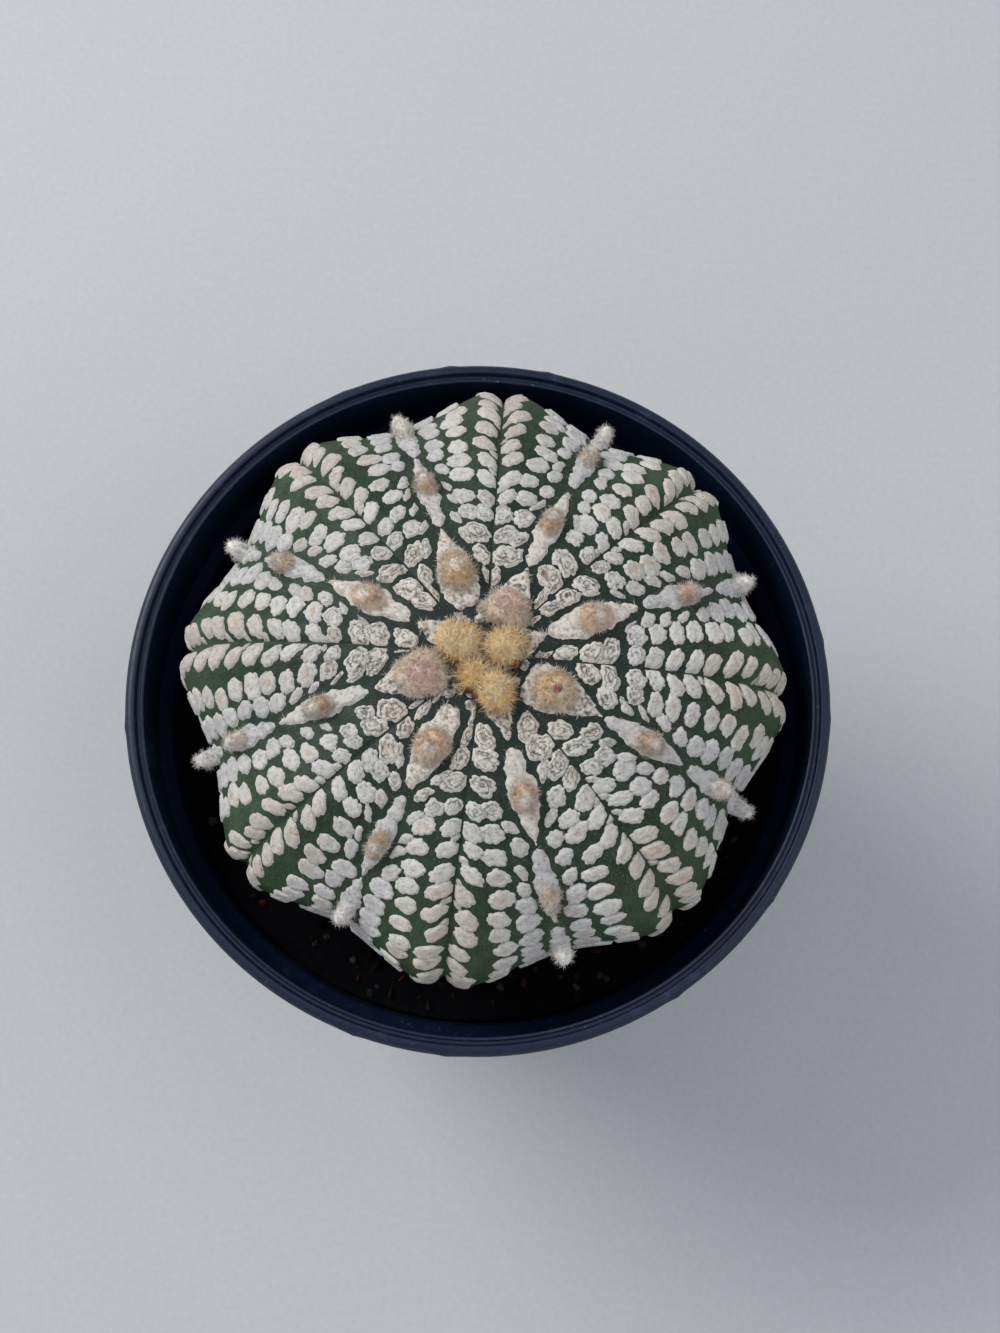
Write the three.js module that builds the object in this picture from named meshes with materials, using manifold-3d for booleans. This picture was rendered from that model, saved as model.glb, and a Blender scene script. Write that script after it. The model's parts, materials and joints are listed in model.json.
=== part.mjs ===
// Potted sea urchin cactus: a low ribbed stem with white felt flecks, in a round black plastic pot.
// Millimetres, +Z up. The origin is the centre of the pot's foot, on the surface that it stands on.
import * as THREE from 'three';
import { mergeVertices } from 'three/addons/utils/BufferGeometryUtils.js';
import Module from 'manifold-3d';

const wasm = await Module();
wasm.setup();

// Pot: a three-inch moulded pot with a collar, a stacking ledge inside and a foot ring
const POT_HEIGHT = 70;
const RIM_RADIUS = 40;
const RIM_BAND = 1.3;
const RIM_GROOVE = 0.4;
const RIM_LIP = 0.4;
const RIM_STEP = 0.7;
const COLLAR_HEIGHT = 11.2;
const COLLAR_OVERHANG = 1.6;
const WALL = 1.1;
const FOOT_RADIUS = 27.8;
const FOOT_WIDTH = 2.3;
const FLOOR_UNDER = 1.2;
const FLOOR_TOP = 2.4;
const POT_SIDES = 56;
const DRAIN_COUNT = 8;
const DRAIN_CIRCLE = 17.5;
const DRAIN_RADIUS = 2.8;

// Potting mix: it fills the pot to well below the rim, with a rough top
const SOIL_TOP = 56.6;
const SOIL_ROUGHNESS = 0.9;
const SEAT_GAP = 0.3;

// Stem: its equator lies just under the rim, and its axis stands a little off the pot's centre
const PLANT_X = 0.55;
const PLANT_Y = 1.66;
const EQUATOR_Z = 69.5;
const STEM_RADIUS = 34.7;
const STEM_RISE = 13.8;
const STEM_POWER = 2.25;
const UNDER_DROP = 28;
const NECK_RADIUS = 11;
const ROOT_LENGTH = 24;
const ROOT_TAPER = 0.75;

// Ribs: areoles sit in a shallow valley along each rib, and a sharp groove parts it from the next
const RIBS = 8;
const RIB_ANGLE = 360 / RIBS;
const FIRST_RIB = 17.5;
const VALLEY_DEPTH = 3.5;
const VALLEY_POWER = 0.8;
const GROOVE_DEPTH = 1.6;
const GROOVE_SPAN = 0.24;
const GROOVE_POWER = 1.8;
const LEAN_ONE = { size: 2.2, toward: 44 };
const LEAN_TWO = { size: 0.7, toward: 8 };

// Flecks: felt scales in rows that hang in an arc between the areole line and the groove
const FIRST_ROW = 5;
const ROW_PITCH = 2.35;
const ROW_SAG = 1.7;
const SAG_START = [6, 16];
const SAG_END = [38, 46];
const SAG_LOWEST = [0.3, 0.5];
const SAG_SHIFT = [16, 26];
const FLECK_HEIGHT = 0.45;
const FLECK_INSET = [0.6, 0.84];
const ROW_JITTER = 0.25;
const COLUMN_JITTER = 0.07;
const LAST_COLUMN = 0.95;
const FLECK_ZONES = [
  { rows: 4, columns: [0, 0.5, LAST_COLUMN, 1] },
  { rows: 11, columns: [0, 0.35, 0.66, LAST_COLUMN, 1] },
  { rows: 2, columns: [0, 0.5, LAST_COLUMN, 1] },
];
const UNDER_ROWS = 4;
const ROOT_ROWS = 7;

// Areoles: areole n sits on rib 3n, and its distance from the apex grows with its age n
const AREOLE_START = 1.8;
const AREOLE_GROWTH = 1.125;
const AREOLE_SLOWING = 0.03;
const SLOWING_FROM = 14;
const CROWN_AREOLES = [-1, 0, 1, 2];
const LAST_AREOLE = 30;
const LENS_REACH_IN = 0.45;
const LENS_REACH_IN_YOUNG = 0.52;
const LENS_REACH_OUT = 0.5;
const LENS_HALF_WIDTH = 1.4;
const LENS_YOUNG_EXTRA = 1.1;
const LENS_SUNK = 0.7;
const LENS_EDGE = 0.4;
const LENS_CLEAR = 0.8;
const LENS_OUTLINE = [
  [0, 0],
  [0.12, 0.62],
  [0.4, 1],
  [0.75, 0.66],
  [1, 0],
];
const PAD_OFFSET = 0.5;
const PAD_HEIGHT = 1.4;
const CONE_HEIGHT = 2.9;
const NEWEST_DISTANCE = 2.2;
const MOUND_RADIUS = 2.15;
const MOUND_HEIGHT = 1.9;
const WOOL_EDGE = 0.35;
const WOOL_CLEAR = 1;

const SEED = 17.3;
const TABLE_STEPS = 400;

// Small helpers
const radians = (degrees) => (degrees * Math.PI) / 180;
const clamp = (value, low, high) => Math.min(high, Math.max(low, value));
const blend = (a, b, t) => a + (b - a) * t;

function smooth(low, high, value) {
  const t = clamp((value - low) / (high - low), 0, 1);
  return t * t * (3 - 2 * t);
}

// A repeatable draw between 0 and 1 for a whole number
function draw(key) {
  const wave = Math.sin(key * 12.9898 + SEED) * 43758.5453;
  return wave - Math.floor(wave);
}

function geometryOf(triangles) {
  const raw = new THREE.BufferGeometry();
  raw.setAttribute('position', new THREE.Float32BufferAttribute(triangles.flat(2), 3));
  return mergeVertices(raw, 1e-4);
}

function solidOf(geometry) {
  const bare = geometry.clone();
  bare.deleteAttribute('normal');
  bare.deleteAttribute('uv');
  const merged = mergeVertices(bare, 1e-4);
  return new wasm.Manifold(new wasm.Mesh({
    numProp: 3,
    vertProperties: new Float32Array(merged.attributes.position.array),
    triVerts: new Uint32Array(merged.index.array),
  }));
}

function geometryOfSolid(solid) {
  const mesh = solid.getMesh();
  const geometry = new THREE.BufferGeometry();
  geometry.setAttribute('position', new THREE.BufferAttribute(new Float32Array(mesh.vertProperties), 3));
  geometry.setIndex(new THREE.BufferAttribute(new Uint32Array(mesh.triVerts), 1));
  return geometry;
}

// Triangles between two closed rings of points, both counter-clockwise seen from the far side of b
function bridge(a, b) {
  return a.flatMap((point, i) => {
    const j = (i + 1) % a.length;
    return [[point, a[j], b[j]], [point, b[j], b[i]]];
  });
}

function lathe(profile, sides) {
  const geometry = new THREE.LatheGeometry(profile.map(([r, z]) => new THREE.Vector2(r, z)), sides);
  geometry.rotateX(Math.PI / 2);
  return geometry;
}

// The stem's meridian from the apex over the equator and the underside to the root's tip
function meridianTable() {
  const points = [];
  for (let i = 0; i <= TABLE_STEPS; i += 1) {
    const t = (i / TABLE_STEPS) * (Math.PI / 2);
    const power = 2 / STEM_POWER;
    points.push([STEM_RADIUS * Math.sin(t) ** power, STEM_RISE * Math.cos(t) ** power]);
  }
  for (let i = 1; i <= TABLE_STEPS; i += 1) {
    const t = i / TABLE_STEPS;
    const swell = (1 + Math.cos(Math.PI * t)) / 2;
    points.push([blend(NECK_RADIUS, STEM_RADIUS, swell), -UNDER_DROP * t]);
  }
  for (let i = 1; i <= TABLE_STEPS; i += 1) {
    const t = i / TABLE_STEPS;
    points.push([NECK_RADIUS * (1 - t) ** ROOT_TAPER, -UNDER_DROP - ROOT_LENGTH * t]);
  }
  let length = 0;
  return points.map(([r, z], i) => {
    const [lastR, lastZ] = points[Math.max(0, i - 1)];
    length += Math.hypot(r - lastR, z - lastZ);
    return { s: length, r, z };
  });
}

const MERIDIAN = meridianTable();
const EQUATOR_S = MERIDIAN[TABLE_STEPS].s;
const NECK_S = MERIDIAN[2 * TABLE_STEPS].s;
const TIP_S = MERIDIAN[3 * TABLE_STEPS].s;

function onMeridian(s) {
  let low = 0;
  let high = MERIDIAN.length - 1;
  while (high - low > 1) {
    const middle = (low + high) >> 1;
    if (MERIDIAN[middle].s > s) {
      high = middle;
    } else {
      low = middle;
    }
  }
  const t = clamp((s - MERIDIAN[low].s) / (MERIDIAN[high].s - MERIDIAN[low].s), 0, 1);
  return {
    r: blend(MERIDIAN[low].r, MERIDIAN[high].r, t),
    z: blend(MERIDIAN[low].z, MERIDIAN[high].z, t),
  };
}

// The ribs lean a few degrees from an even spacing
function leanedAngle(angle) {
  const one = LEAN_ONE.size * Math.cos(radians(angle - LEAN_ONE.toward));
  const two = LEAN_TWO.size * Math.cos(radians(2 * (angle - LEAN_TWO.toward)));
  return angle + one + two;
}

// How far across a half rib an angle lies: 0 on the areole line, 1 in the groove
function acrossRib(angle) {
  const turn = (((angle - FIRST_RIB) % RIB_ANGLE) + RIB_ANGLE * 1.5) % RIB_ANGLE;
  return Math.abs(turn - RIB_ANGLE / 2) / (RIB_ANGLE / 2);
}

function reliefDepth(angle, s) {
  const across = acrossRib(angle);
  const valley = ((1 + Math.cos(Math.PI * across)) / 2) ** VALLEY_POWER;
  const groove = clamp(1 - (1 - across) / GROOVE_SPAN, 0, 1) ** GROOVE_POWER;
  const end = 1 - smooth(EQUATOR_S + 4, EQUATOR_S + 12, s);
  const valleyDepth = VALLEY_DEPTH * smooth(0.2 * EQUATOR_S, 0.95 * EQUATOR_S, s);
  const grooveDepth = GROOVE_DEPTH * smooth(0.1 * EQUATOR_S, 0.95 * EQUATOR_S, s);
  return end * (valleyDepth * valley + grooveDepth * groove);
}

// A point of the stem or root at an angle round it and a distance s from the apex along its skin
function stemPoint(angle, s, lift = 0) {
  const wrapped = ((angle % 360) + 360) % 360;
  const here = onMeridian(s);
  const before = onMeridian(Math.max(0, s - 0.2));
  const after = onMeridian(Math.min(TIP_S, s + 0.2));
  const along = Math.hypot(after.r - before.r, after.z - before.z);
  const outward = s < 0.2 ? 0 : (before.z - after.z) / along;
  const upward = s < 0.2 ? 1 : (after.r - before.r) / along;
  const out = lift - reliefDepth(wrapped, s);
  const r = here.r + outward * out;
  const turn = radians(leanedAngle(wrapped));
  return [PLANT_X + r * Math.cos(turn), PLANT_Y + r * Math.sin(turn), EQUATOR_Z + here.z + upward * out];
}

const ribAngle = (rib) => FIRST_RIB + RIB_ANGLE * rib;
const degreesFor = (width, s) => (width / onMeridian(s).r) * (180 / Math.PI);

// Where each areole sits and how far its pointed felt patch reaches
function areoleDistance(n) {
  const grown = AREOLE_START + Math.max(0, n) ** AREOLE_GROWTH;
  return grown - AREOLE_SLOWING * Math.max(0, n - SLOWING_FROM) ** 2;
}

function areole(n) {
  const s = areoleDistance(n);
  const gapIn = n >= RIBS ? s - areoleDistance(n - RIBS) : s;
  const gapOut = areoleDistance(n + RIBS) - s;
  const inner = Math.min(LENS_REACH_IN * gapIn, LENS_REACH_IN_YOUNG * (s - NEWEST_DISTANCE));
  const half = LENS_HALF_WIDTH + LENS_YOUNG_EXTRA * Math.exp(-(((n - 6) / 3.5) ** 2));
  const age = smooth(18, 25, n);
  return {
    s,
    angle: ribAngle((3 * n + RIBS) % RIBS),
    inner,
    outer: LENS_REACH_OUT * gapOut,
    half,
    padLong: Math.min(0.8 * inner + PAD_OFFSET, blend(1.1 + 0.5 * half, 1.3, age)),
    height: blend(PAD_HEIGHT, CONE_HEIGHT, age),
  };
}

const AREOLES = [];
for (let n = CROWN_AREOLES.length - 1; n <= LAST_AREOLE; n += 1) {
  AREOLES.push(areole(n));
}

function lensHalfWidth(mark, along) {
  const t = (along + mark.inner) / (mark.inner + mark.outer);
  for (let i = 1; i < LENS_OUTLINE.length; i += 1) {
    const [lowT, lowW] = LENS_OUTLINE[i - 1];
    const [highT, highW] = LENS_OUTLINE[i];
    if (t >= lowT && t <= highT) {
      return mark.half * blend(lowW, highW, (t - lowT) / (highT - lowT));
    }
  }
  return -1;
}

function isUnderAreole(angle, s) {
  return AREOLES.some((mark) => {
    const turn = ((angle - mark.angle + 540) % 360) - 180;
    const half = lensHalfWidth(mark, s - mark.s);
    return half >= 0 && Math.abs(radians(turn)) * onMeridian(s).r < half + LENS_CLEAR;
  });
}

// The youngest areoles' mounds of wool, seen from above
const MOUNDS = CROWN_AREOLES.map((n) => {
  const turn = radians(leanedAngle(ribAngle((3 * n + RIBS) % RIBS)));
  const distance = Math.max(NEWEST_DISTANCE, areoleDistance(n));
  return { x: distance * Math.cos(turn), y: distance * Math.sin(turn) };
});

function isUnderWool(angle, s) {
  const turn = radians(leanedAngle(angle));
  return MOUNDS.some(({ x, y }) => (
    Math.hypot(s * Math.cos(turn) - x, s * Math.sin(turn) - y) < MOUND_RADIUS + WOOL_CLEAR));
}

// One areole: a pointed felt patch with a wool pad, whose foot is sunk in the stem
function areoleSolid(mark) {
  const outline = [...LENS_OUTLINE, ...LENS_OUTLINE.slice(1, -1).reverse().map(([t, w]) => [t, -w])];
  const place = (along, sideways, lift) => (
    stemPoint(mark.angle + degreesFor(sideways, mark.s + along), mark.s + along, lift));
  const ring = (scale, lift) => outline.map(([t, w]) => (
    place((blend(-mark.inner, mark.outer, t)) * scale, w * mark.half * scale, lift)));
  const pad = outline.map((_, i) => {
    const turn = Math.PI - (2 * Math.PI * i) / outline.length;
    const along = PAD_OFFSET + mark.padLong * Math.cos(turn);
    return place(along, 0.8 * mark.half * Math.sin(turn), mark.height * 0.6);
  });
  const foot = ring(1, -LENS_SUNK);
  const edge = ring(0.94, LENS_EDGE);
  const top = place(PAD_OFFSET + 0.3, 0, mark.height);
  const triangles = [...bridge(foot, edge), ...bridge(edge, pad)];
  for (let i = 0; i < pad.length; i += 1) {
    triangles.push([pad[i], pad[(i + 1) % pad.length], top]);
  }
  for (let i = 1; i < foot.length - 1; i += 1) {
    triangles.push([foot[0], foot[i + 1], foot[i]]);
  }
  return solidOf(geometryOf(triangles.map(([a, b, c]) => [a, c, b])));
}

// The rows of the skin, from the apex down: each has its distance from the apex and the columns
// of the cells that follow it
function skinRows() {
  const rows = [{ s: FIRST_ROW / 2, columns: [0, 1], flecks: false }];
  let index = 0;
  FLECK_ZONES.forEach((zone) => {
    for (let i = 0; i < zone.rows; i += 1) {
      rows.push({ s: FIRST_ROW + ROW_PITCH * index, columns: zone.columns, flecks: true });
      index += 1;
    }
  });
  const underStart = FIRST_ROW + ROW_PITCH * index;
  for (let i = 0; i < UNDER_ROWS; i += 1) {
    const columns = [0, 0.5, 1];
    rows.push({ s: blend(underStart, NECK_S, i / UNDER_ROWS), columns, flecks: false });
  }
  for (let i = 0; i < ROOT_ROWS; i += 1) {
    rows.push({ s: blend(NECK_S, TIP_S, i / ROOT_ROWS), columns: [0, 1], flecks: false });
  }
  return rows;
}

// How far a row hangs down at u, from 0 on the areole line to 1 in the groove
function rowSag(s, u) {
  const lowest = blend(...SAG_LOWEST, smooth(...SAG_SHIFT, s));
  const away = (u - lowest) / (u < lowest ? lowest : 1 - lowest);
  return ROW_SAG * smooth(...SAG_START, s) * (1 - smooth(...SAG_END, s)) * (1 - away * away);
}

const ROWS = skinRows();

// A corner of the skin's cells, moved a little by draws of its own
function skinCorner(rib, side, row, u) {
  const even = ribAngle(rib) + (side * u * RIB_ANGLE) / 2;
  const key = row * 3600 + Math.round((((even % 360) + 360) % 360) * 10);
  const base = ROWS[row].s;
  const isFree = ROWS[row].flecks && u > 0 && u < LAST_COLUMN;
  const sideways = isFree ? COLUMN_JITTER * RIB_ANGLE * (draw(key + 50000) - 0.5) : 0;
  const along = ROWS[row].flecks ? ROW_JITTER * (2 * draw(key) - 1) : 0;
  return { angle: even + sideways, s: base + rowSag(base, u) + along };
}

function cellCorners(rib, side, row, low, high) {
  const within = (columns) => columns.filter((u) => u >= low && u <= high);
  const upper = new Set([...within(ROWS[row - 1]?.columns ?? []), ...within(ROWS[row].columns)]);
  const lower = new Set([...within(ROWS[row].columns), ...within(ROWS[row + 1]?.columns ?? [])]);
  const sorted = (set) => [...set].sort((a, b) => a - b);
  return [
    ...sorted(upper).map((u) => skinCorner(rib, side, row, u)),
    ...sorted(lower).reverse().map((u) => skinCorner(rib, side, row + 1, u)),
  ];
}

// One cell of the skin: plain, or with a raised fleck whose outline is the cell drawn in
function cellTriangles(corners, hasFleck, key) {
  const ground = corners.map(({ angle, s }) => stemPoint(angle, s));
  if (!hasFleck) {
    return ground.slice(2).map((point, i) => [ground[0], ground[i + 1], point]);
  }
  const middle = {
    angle: corners.reduce((sum, corner) => sum + corner.angle, 0) / corners.length,
    s: corners.reduce((sum, corner) => sum + corner.s, 0) / corners.length,
  };
  const top = corners.map(({ angle, s }, i) => {
    const inset = blend(...FLECK_INSET, draw(key + i * 977));
    return stemPoint(blend(middle.angle, angle, inset), blend(middle.s, s, inset), FLECK_HEIGHT);
  });
  const plate = top.slice(2).map((point, i) => [top[0], top[i + 1], point]);
  return [...bridge(ground, top), ...plate];
}

function skinTriangles() {
  const triangles = [];
  const addCell = (side, cell) => {
    cell.forEach(([a, b, c]) => triangles.push(side > 0 ? [a, c, b] : [a, b, c]));
  };
  for (let rib = 0; rib < RIBS; rib += 1) {
    [-1, 1].forEach((side) => {
      const cap = cellCorners(rib, side, 0, 0, 1).slice(0, 2).reverse();
      addCell(side, [[stemPoint(0, 0), ...cap.map(({ angle, s }) => stemPoint(angle, s))]]);
      for (let row = 0; row < ROWS.length - 1; row += 1) {
        const { columns, flecks } = ROWS[row];
        for (let j = 0; j < columns.length - 1; j += 1) {
          const corners = cellCorners(rib, side, row, columns[j], columns[j + 1]);
          const middle = corners.reduce((sum, corner) => sum + corner.s, 0) / corners.length;
          const angle = ribAngle(rib) + (side * (columns[j] + columns[j + 1]) * RIB_ANGLE) / 4;
          const isNotch = flecks && columns[j + 1] === 1;
          const isCovered = isUnderAreole(angle, middle) || isUnderWool(angle, middle);
          const hasFleck = flecks && !isNotch && !isCovered;
          addCell(side, cellTriangles(corners, hasFleck, row * 3600 + Math.round(angle * 10)));
        }
      }
      const last = ROWS.length - 1;
      const tail = [skinCorner(rib, side, last, 0), skinCorner(rib, side, last, 1)];
      addCell(side, [[...tail.map(({ angle, s }) => stemPoint(angle, s)), stemPoint(0, TIP_S)]]);
    });
  }
  return triangles;
}

function makeCactus() {
  const stem = solidOf(geometryOf(skinTriangles()));
  return geometryOfSolid(AREOLES.reduce((body, mark) => body.add(areoleSolid(mark)), stem));
}

// The wool of the youngest areoles: low mounds grown into one cushion over the apex
function makeCrownWool() {
  const spokes = 24;
  const fractions = [0.3, 0.55, 0.78, 1];
  const reach = (angle) => {
    const turn = radians(leanedAngle(angle));
    return Math.max(...MOUNDS.map(({ x, y }) => {
      const along = x * Math.cos(turn) + y * Math.sin(turn);
      const beside = x * Math.sin(turn) - y * Math.cos(turn);
      return along + Math.sqrt(Math.max(0, MOUND_RADIUS ** 2 - beside ** 2));
    }));
  };
  const woolTop = (angle, s) => {
    const turn = radians(leanedAngle(angle));
    const rise = MOUNDS.map(({ x, y }) => {
      const away = Math.hypot(s * Math.cos(turn) - x, s * Math.sin(turn) - y) / MOUND_RADIUS;
      return MOUND_HEIGHT * Math.sqrt(Math.max(0, 1 - away * away));
    });
    return SEAT_GAP + Math.max(WOOL_EDGE, ...rise);
  };
  const ring = (fraction, lift) => Array.from({ length: spokes }, (_, i) => {
    const angle = (360 * i) / spokes;
    const s = reach(angle) * fraction;
    return stemPoint(angle, s, lift ?? woolTop(angle, s));
  });
  const fan = (centre, rim) => rim.map((point, i) => [centre, point, rim[(i + 1) % rim.length]]);
  const tops = fractions.map((fraction) => ring(fraction));
  const bottoms = fractions.map((fraction) => ring(fraction, SEAT_GAP));
  const triangles = [
    ...fan(stemPoint(0, 0, woolTop(0, 0)), tops[0]),
    ...tops.slice(1).flatMap((outer, i) => bridge(outer, tops[i])),
    ...bridge(bottoms.at(-1), tops.at(-1)),
    ...bottoms.slice(1).flatMap((outer, i) => bridge(bottoms[i], outer)),
    ...fan(stemPoint(0, 0, SEAT_GAP), bottoms[0]).map(([a, b, c]) => [a, c, b]),
  ];
  return geometryOf(triangles);
}

// The pot's inner wall radius at a height below the stacking ledge
const LEDGE_Z = POT_HEIGHT - COLLAR_HEIGHT;
const BODY_RADIUS = RIM_RADIUS - COLLAR_OVERHANG - WALL;
const wallRadius = (z) => blend(FOOT_RADIUS, BODY_RADIUS, z / LEDGE_Z) - WALL;

function makePot() {
  const band = RIM_RADIUS - RIM_BAND;
  const lip = band - RIM_GROOVE;
  const inside = lip - RIM_LIP;
  const collar = RIM_RADIUS - 0.7;
  const profile = [
    [0, FLOOR_UNDER],
    [FOOT_RADIUS - FOOT_WIDTH - 0.4, FLOOR_UNDER],
    [FOOT_RADIUS - FOOT_WIDTH, 0],
    [FOOT_RADIUS - 0.3, 0],
    [FOOT_RADIUS, 0.4],
    [BODY_RADIUS, LEDGE_Z - 0.6],
    [collar - 0.5, LEDGE_Z - 0.4],
    [collar - 0.2, LEDGE_Z + 0.2],
    [collar, POT_HEIGHT - 3],
    [RIM_RADIUS, POT_HEIGHT - 2],
    [RIM_RADIUS, POT_HEIGHT - 0.6],
    [RIM_RADIUS - 0.35, POT_HEIGHT - 0.1],
    [RIM_RADIUS - 0.7, POT_HEIGHT],
    [band + 0.2, POT_HEIGHT],
    [band, POT_HEIGHT - RIM_STEP],
    [lip, POT_HEIGHT - RIM_STEP],
    [lip - 0.05, POT_HEIGHT - RIM_STEP + 0.3],
    [inside, POT_HEIGHT - RIM_STEP + 0.2],
    [inside - 0.3, LEDGE_Z + 1.2],
    [wallRadius(LEDGE_Z), LEDGE_Z],
    [wallRadius(FLOOR_TOP), FLOOR_TOP],
    [0, FLOOR_TOP],
  ];
  const shell = solidOf(lathe(profile, POT_SIDES));
  const drain = new THREE.CylinderGeometry(DRAIN_RADIUS, DRAIN_RADIUS, 3 * FLOOR_TOP, 12);
  drain.rotateX(Math.PI / 2);
  let drained = shell;
  for (let i = 0; i < DRAIN_COUNT; i += 1) {
    const turn = (2 * Math.PI * i) / DRAIN_COUNT;
    const hole = drain.clone().translate(DRAIN_CIRCLE * Math.cos(turn), DRAIN_CIRCLE * Math.sin(turn), 0);
    drained = drained.subtract(solidOf(hole));
  }
  return geometryOfSolid(drained);
}

// The hole that the stem's underside and the root fill: their own rows, a seat gap larger
function rootHole() {
  const spokes = 4 * RIBS;
  const angles = Array.from({ length: spokes }, (_, i) => ribAngle(0) + (i * 360) / spokes);
  const buried = ROWS.filter((row) => !row.flecks && row.s > EQUATOR_S + UNDER_DROP / 3);
  const hole = buried.map((row) => angles.map((angle) => stemPoint(angle, row.s, SEAT_GAP)));
  const top = hole[0].map(([x, y]) => [x, y, EQUATOR_Z]);
  const roof = [PLANT_X, PLANT_Y, EQUATOR_Z];
  const tip = stemPoint(0, TIP_S);
  tip[2] -= 2 * SEAT_GAP;
  const rings = [top, ...hole];
  const triangles = rings.slice(1).flatMap((lower, i) => bridge(lower, rings[i]));
  top.forEach((point, i) => triangles.push([roof, point, top[(i + 1) % spokes]]));
  hole.at(-1).forEach((point, i, ring) => triangles.push([tip, ring[(i + 1) % spokes], point]));
  return solidOf(geometryOf(triangles));
}

function makePottingMix() {
  const outer = (z) => wallRadius(z) - SEAT_GAP;
  const bottom = FLOOR_TOP + SEAT_GAP;
  const rough = [18, 21.5, 24, 26.3, 28.6, 30.9, 33.2];
  const circle = (radius, height, key) => Array.from({ length: POT_SIDES }, (_, i) => {
    const turn = (2 * Math.PI * i) / POT_SIDES;
    const wobble = key ? SOIL_ROUGHNESS * (2 * draw(key * 100 + i) - 1) : 0;
    return [radius * Math.cos(turn), radius * Math.sin(turn), height + wobble];
  });
  const grains = rough.map((radius, i) => circle(radius, SOIL_TOP, i + 1));
  const wall = circle(outer(SOIL_TOP), SOIL_TOP - 0.3, 0);
  const floor = circle(outer(bottom), bottom, 0);
  const fan = (centre, rim) => rim.map((point, i) => [centre, point, rim[(i + 1) % rim.length]]);
  const rings = [...grains, wall, floor];
  const triangles = [
    ...fan([0, 0, SOIL_TOP], grains[0]),
    ...rings.slice(1).flatMap((ring, i) => bridge(ring, rings[i])),
    ...fan([0, 0, bottom], floor).map(([a, b, c]) => [a, c, b]),
  ];
  return geometryOfSolid(solidOf(geometryOf(triangles)).subtract(rootHole()));
}

const PARTS = [
  { name: 'pot', color: 0x1b1d26, roughness: 0.55, make: makePot },
  { name: 'potting_mix', color: 0x2c231d, roughness: 0.95, make: makePottingMix },
  { name: 'cactus', color: 0x4c5f4a, roughness: 0.75, make: makeCactus },
  { name: 'crown_wool', color: 0xc9a565, roughness: 1, make: makeCrownWool },
];

const plant = new THREE.Group();
plant.name = 'potted_sea_urchin_cactus';
PARTS.forEach(({ name, color, roughness, make }) => {
  const material = new THREE.MeshStandardMaterial({ color, roughness, metalness: 0 });
  const mesh = new THREE.Mesh(make(), material);
  mesh.name = name;
  plant.add(mesh);
});

export default plant;
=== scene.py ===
# Potted sea urchin cactus: a low ribbed stem with white felt flecks, in a round black plastic pot.
# Metres in Blender, millimetres in the tables below, +Z up, origin at the centre of the pot's foot.
import itertools
import json
import math

import bmesh
import bpy
import numpy as np
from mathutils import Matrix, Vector

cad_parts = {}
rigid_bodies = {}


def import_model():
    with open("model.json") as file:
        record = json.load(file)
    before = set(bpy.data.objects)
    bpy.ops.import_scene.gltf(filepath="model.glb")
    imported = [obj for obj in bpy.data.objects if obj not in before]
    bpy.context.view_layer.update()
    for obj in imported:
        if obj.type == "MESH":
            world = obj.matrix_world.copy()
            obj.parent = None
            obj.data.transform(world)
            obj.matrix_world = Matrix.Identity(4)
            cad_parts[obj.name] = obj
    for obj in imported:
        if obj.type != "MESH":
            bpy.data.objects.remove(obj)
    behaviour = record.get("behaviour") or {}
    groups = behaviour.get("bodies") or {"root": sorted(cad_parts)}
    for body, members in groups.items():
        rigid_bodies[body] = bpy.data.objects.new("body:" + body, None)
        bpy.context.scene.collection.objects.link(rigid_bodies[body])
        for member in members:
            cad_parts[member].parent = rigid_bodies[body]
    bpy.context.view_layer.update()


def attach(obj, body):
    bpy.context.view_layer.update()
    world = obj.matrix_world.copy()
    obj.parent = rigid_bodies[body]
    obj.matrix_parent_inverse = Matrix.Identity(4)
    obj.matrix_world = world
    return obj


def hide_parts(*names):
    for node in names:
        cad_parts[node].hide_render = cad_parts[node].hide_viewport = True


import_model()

# Pot
# One injection-moulded shell of black plastic, turned here from its section: a foot ring, a slightly
# tapered wall, a taller collar, a stacking ledge inside and a double rim. Tiny flash marks stand on
# the rim, dust and fine scratches lie on it, and the floor has a ring of drain holes.
MM = 0.001
POT_HEIGHT = 70.0
RIM_RADIUS = 40.0
RIM_BAND = 1.3
RIM_GROOVE = 0.4
RIM_LIP = 0.4
RIM_STEP = 0.7
COLLAR_HEIGHT = 11.2
COLLAR_OVERHANG = 1.6
WALL = 1.1
FOOT_RADIUS = 27.8
FOOT_WIDTH = 2.3
FLOOR_UNDER = 1.2
FLOOR_TOP = 2.4
LEDGE_Z = POT_HEIGHT - COLLAR_HEIGHT
BODY_RADIUS = RIM_RADIUS - COLLAR_OVERHANG - WALL
DRAIN_COUNT = 8
DRAIN_CIRCLE = 17.5
DRAIN_RADIUS = 2.8
DRILL_DEPTH = 9
POT_SIDES = 216
FLASH_ANGLES = (10.5, 78, 95, 114, 184.5, 249.5, 265.5, 303, 325.5, 356)
FLASH_HEIGHT = 0.16


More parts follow.
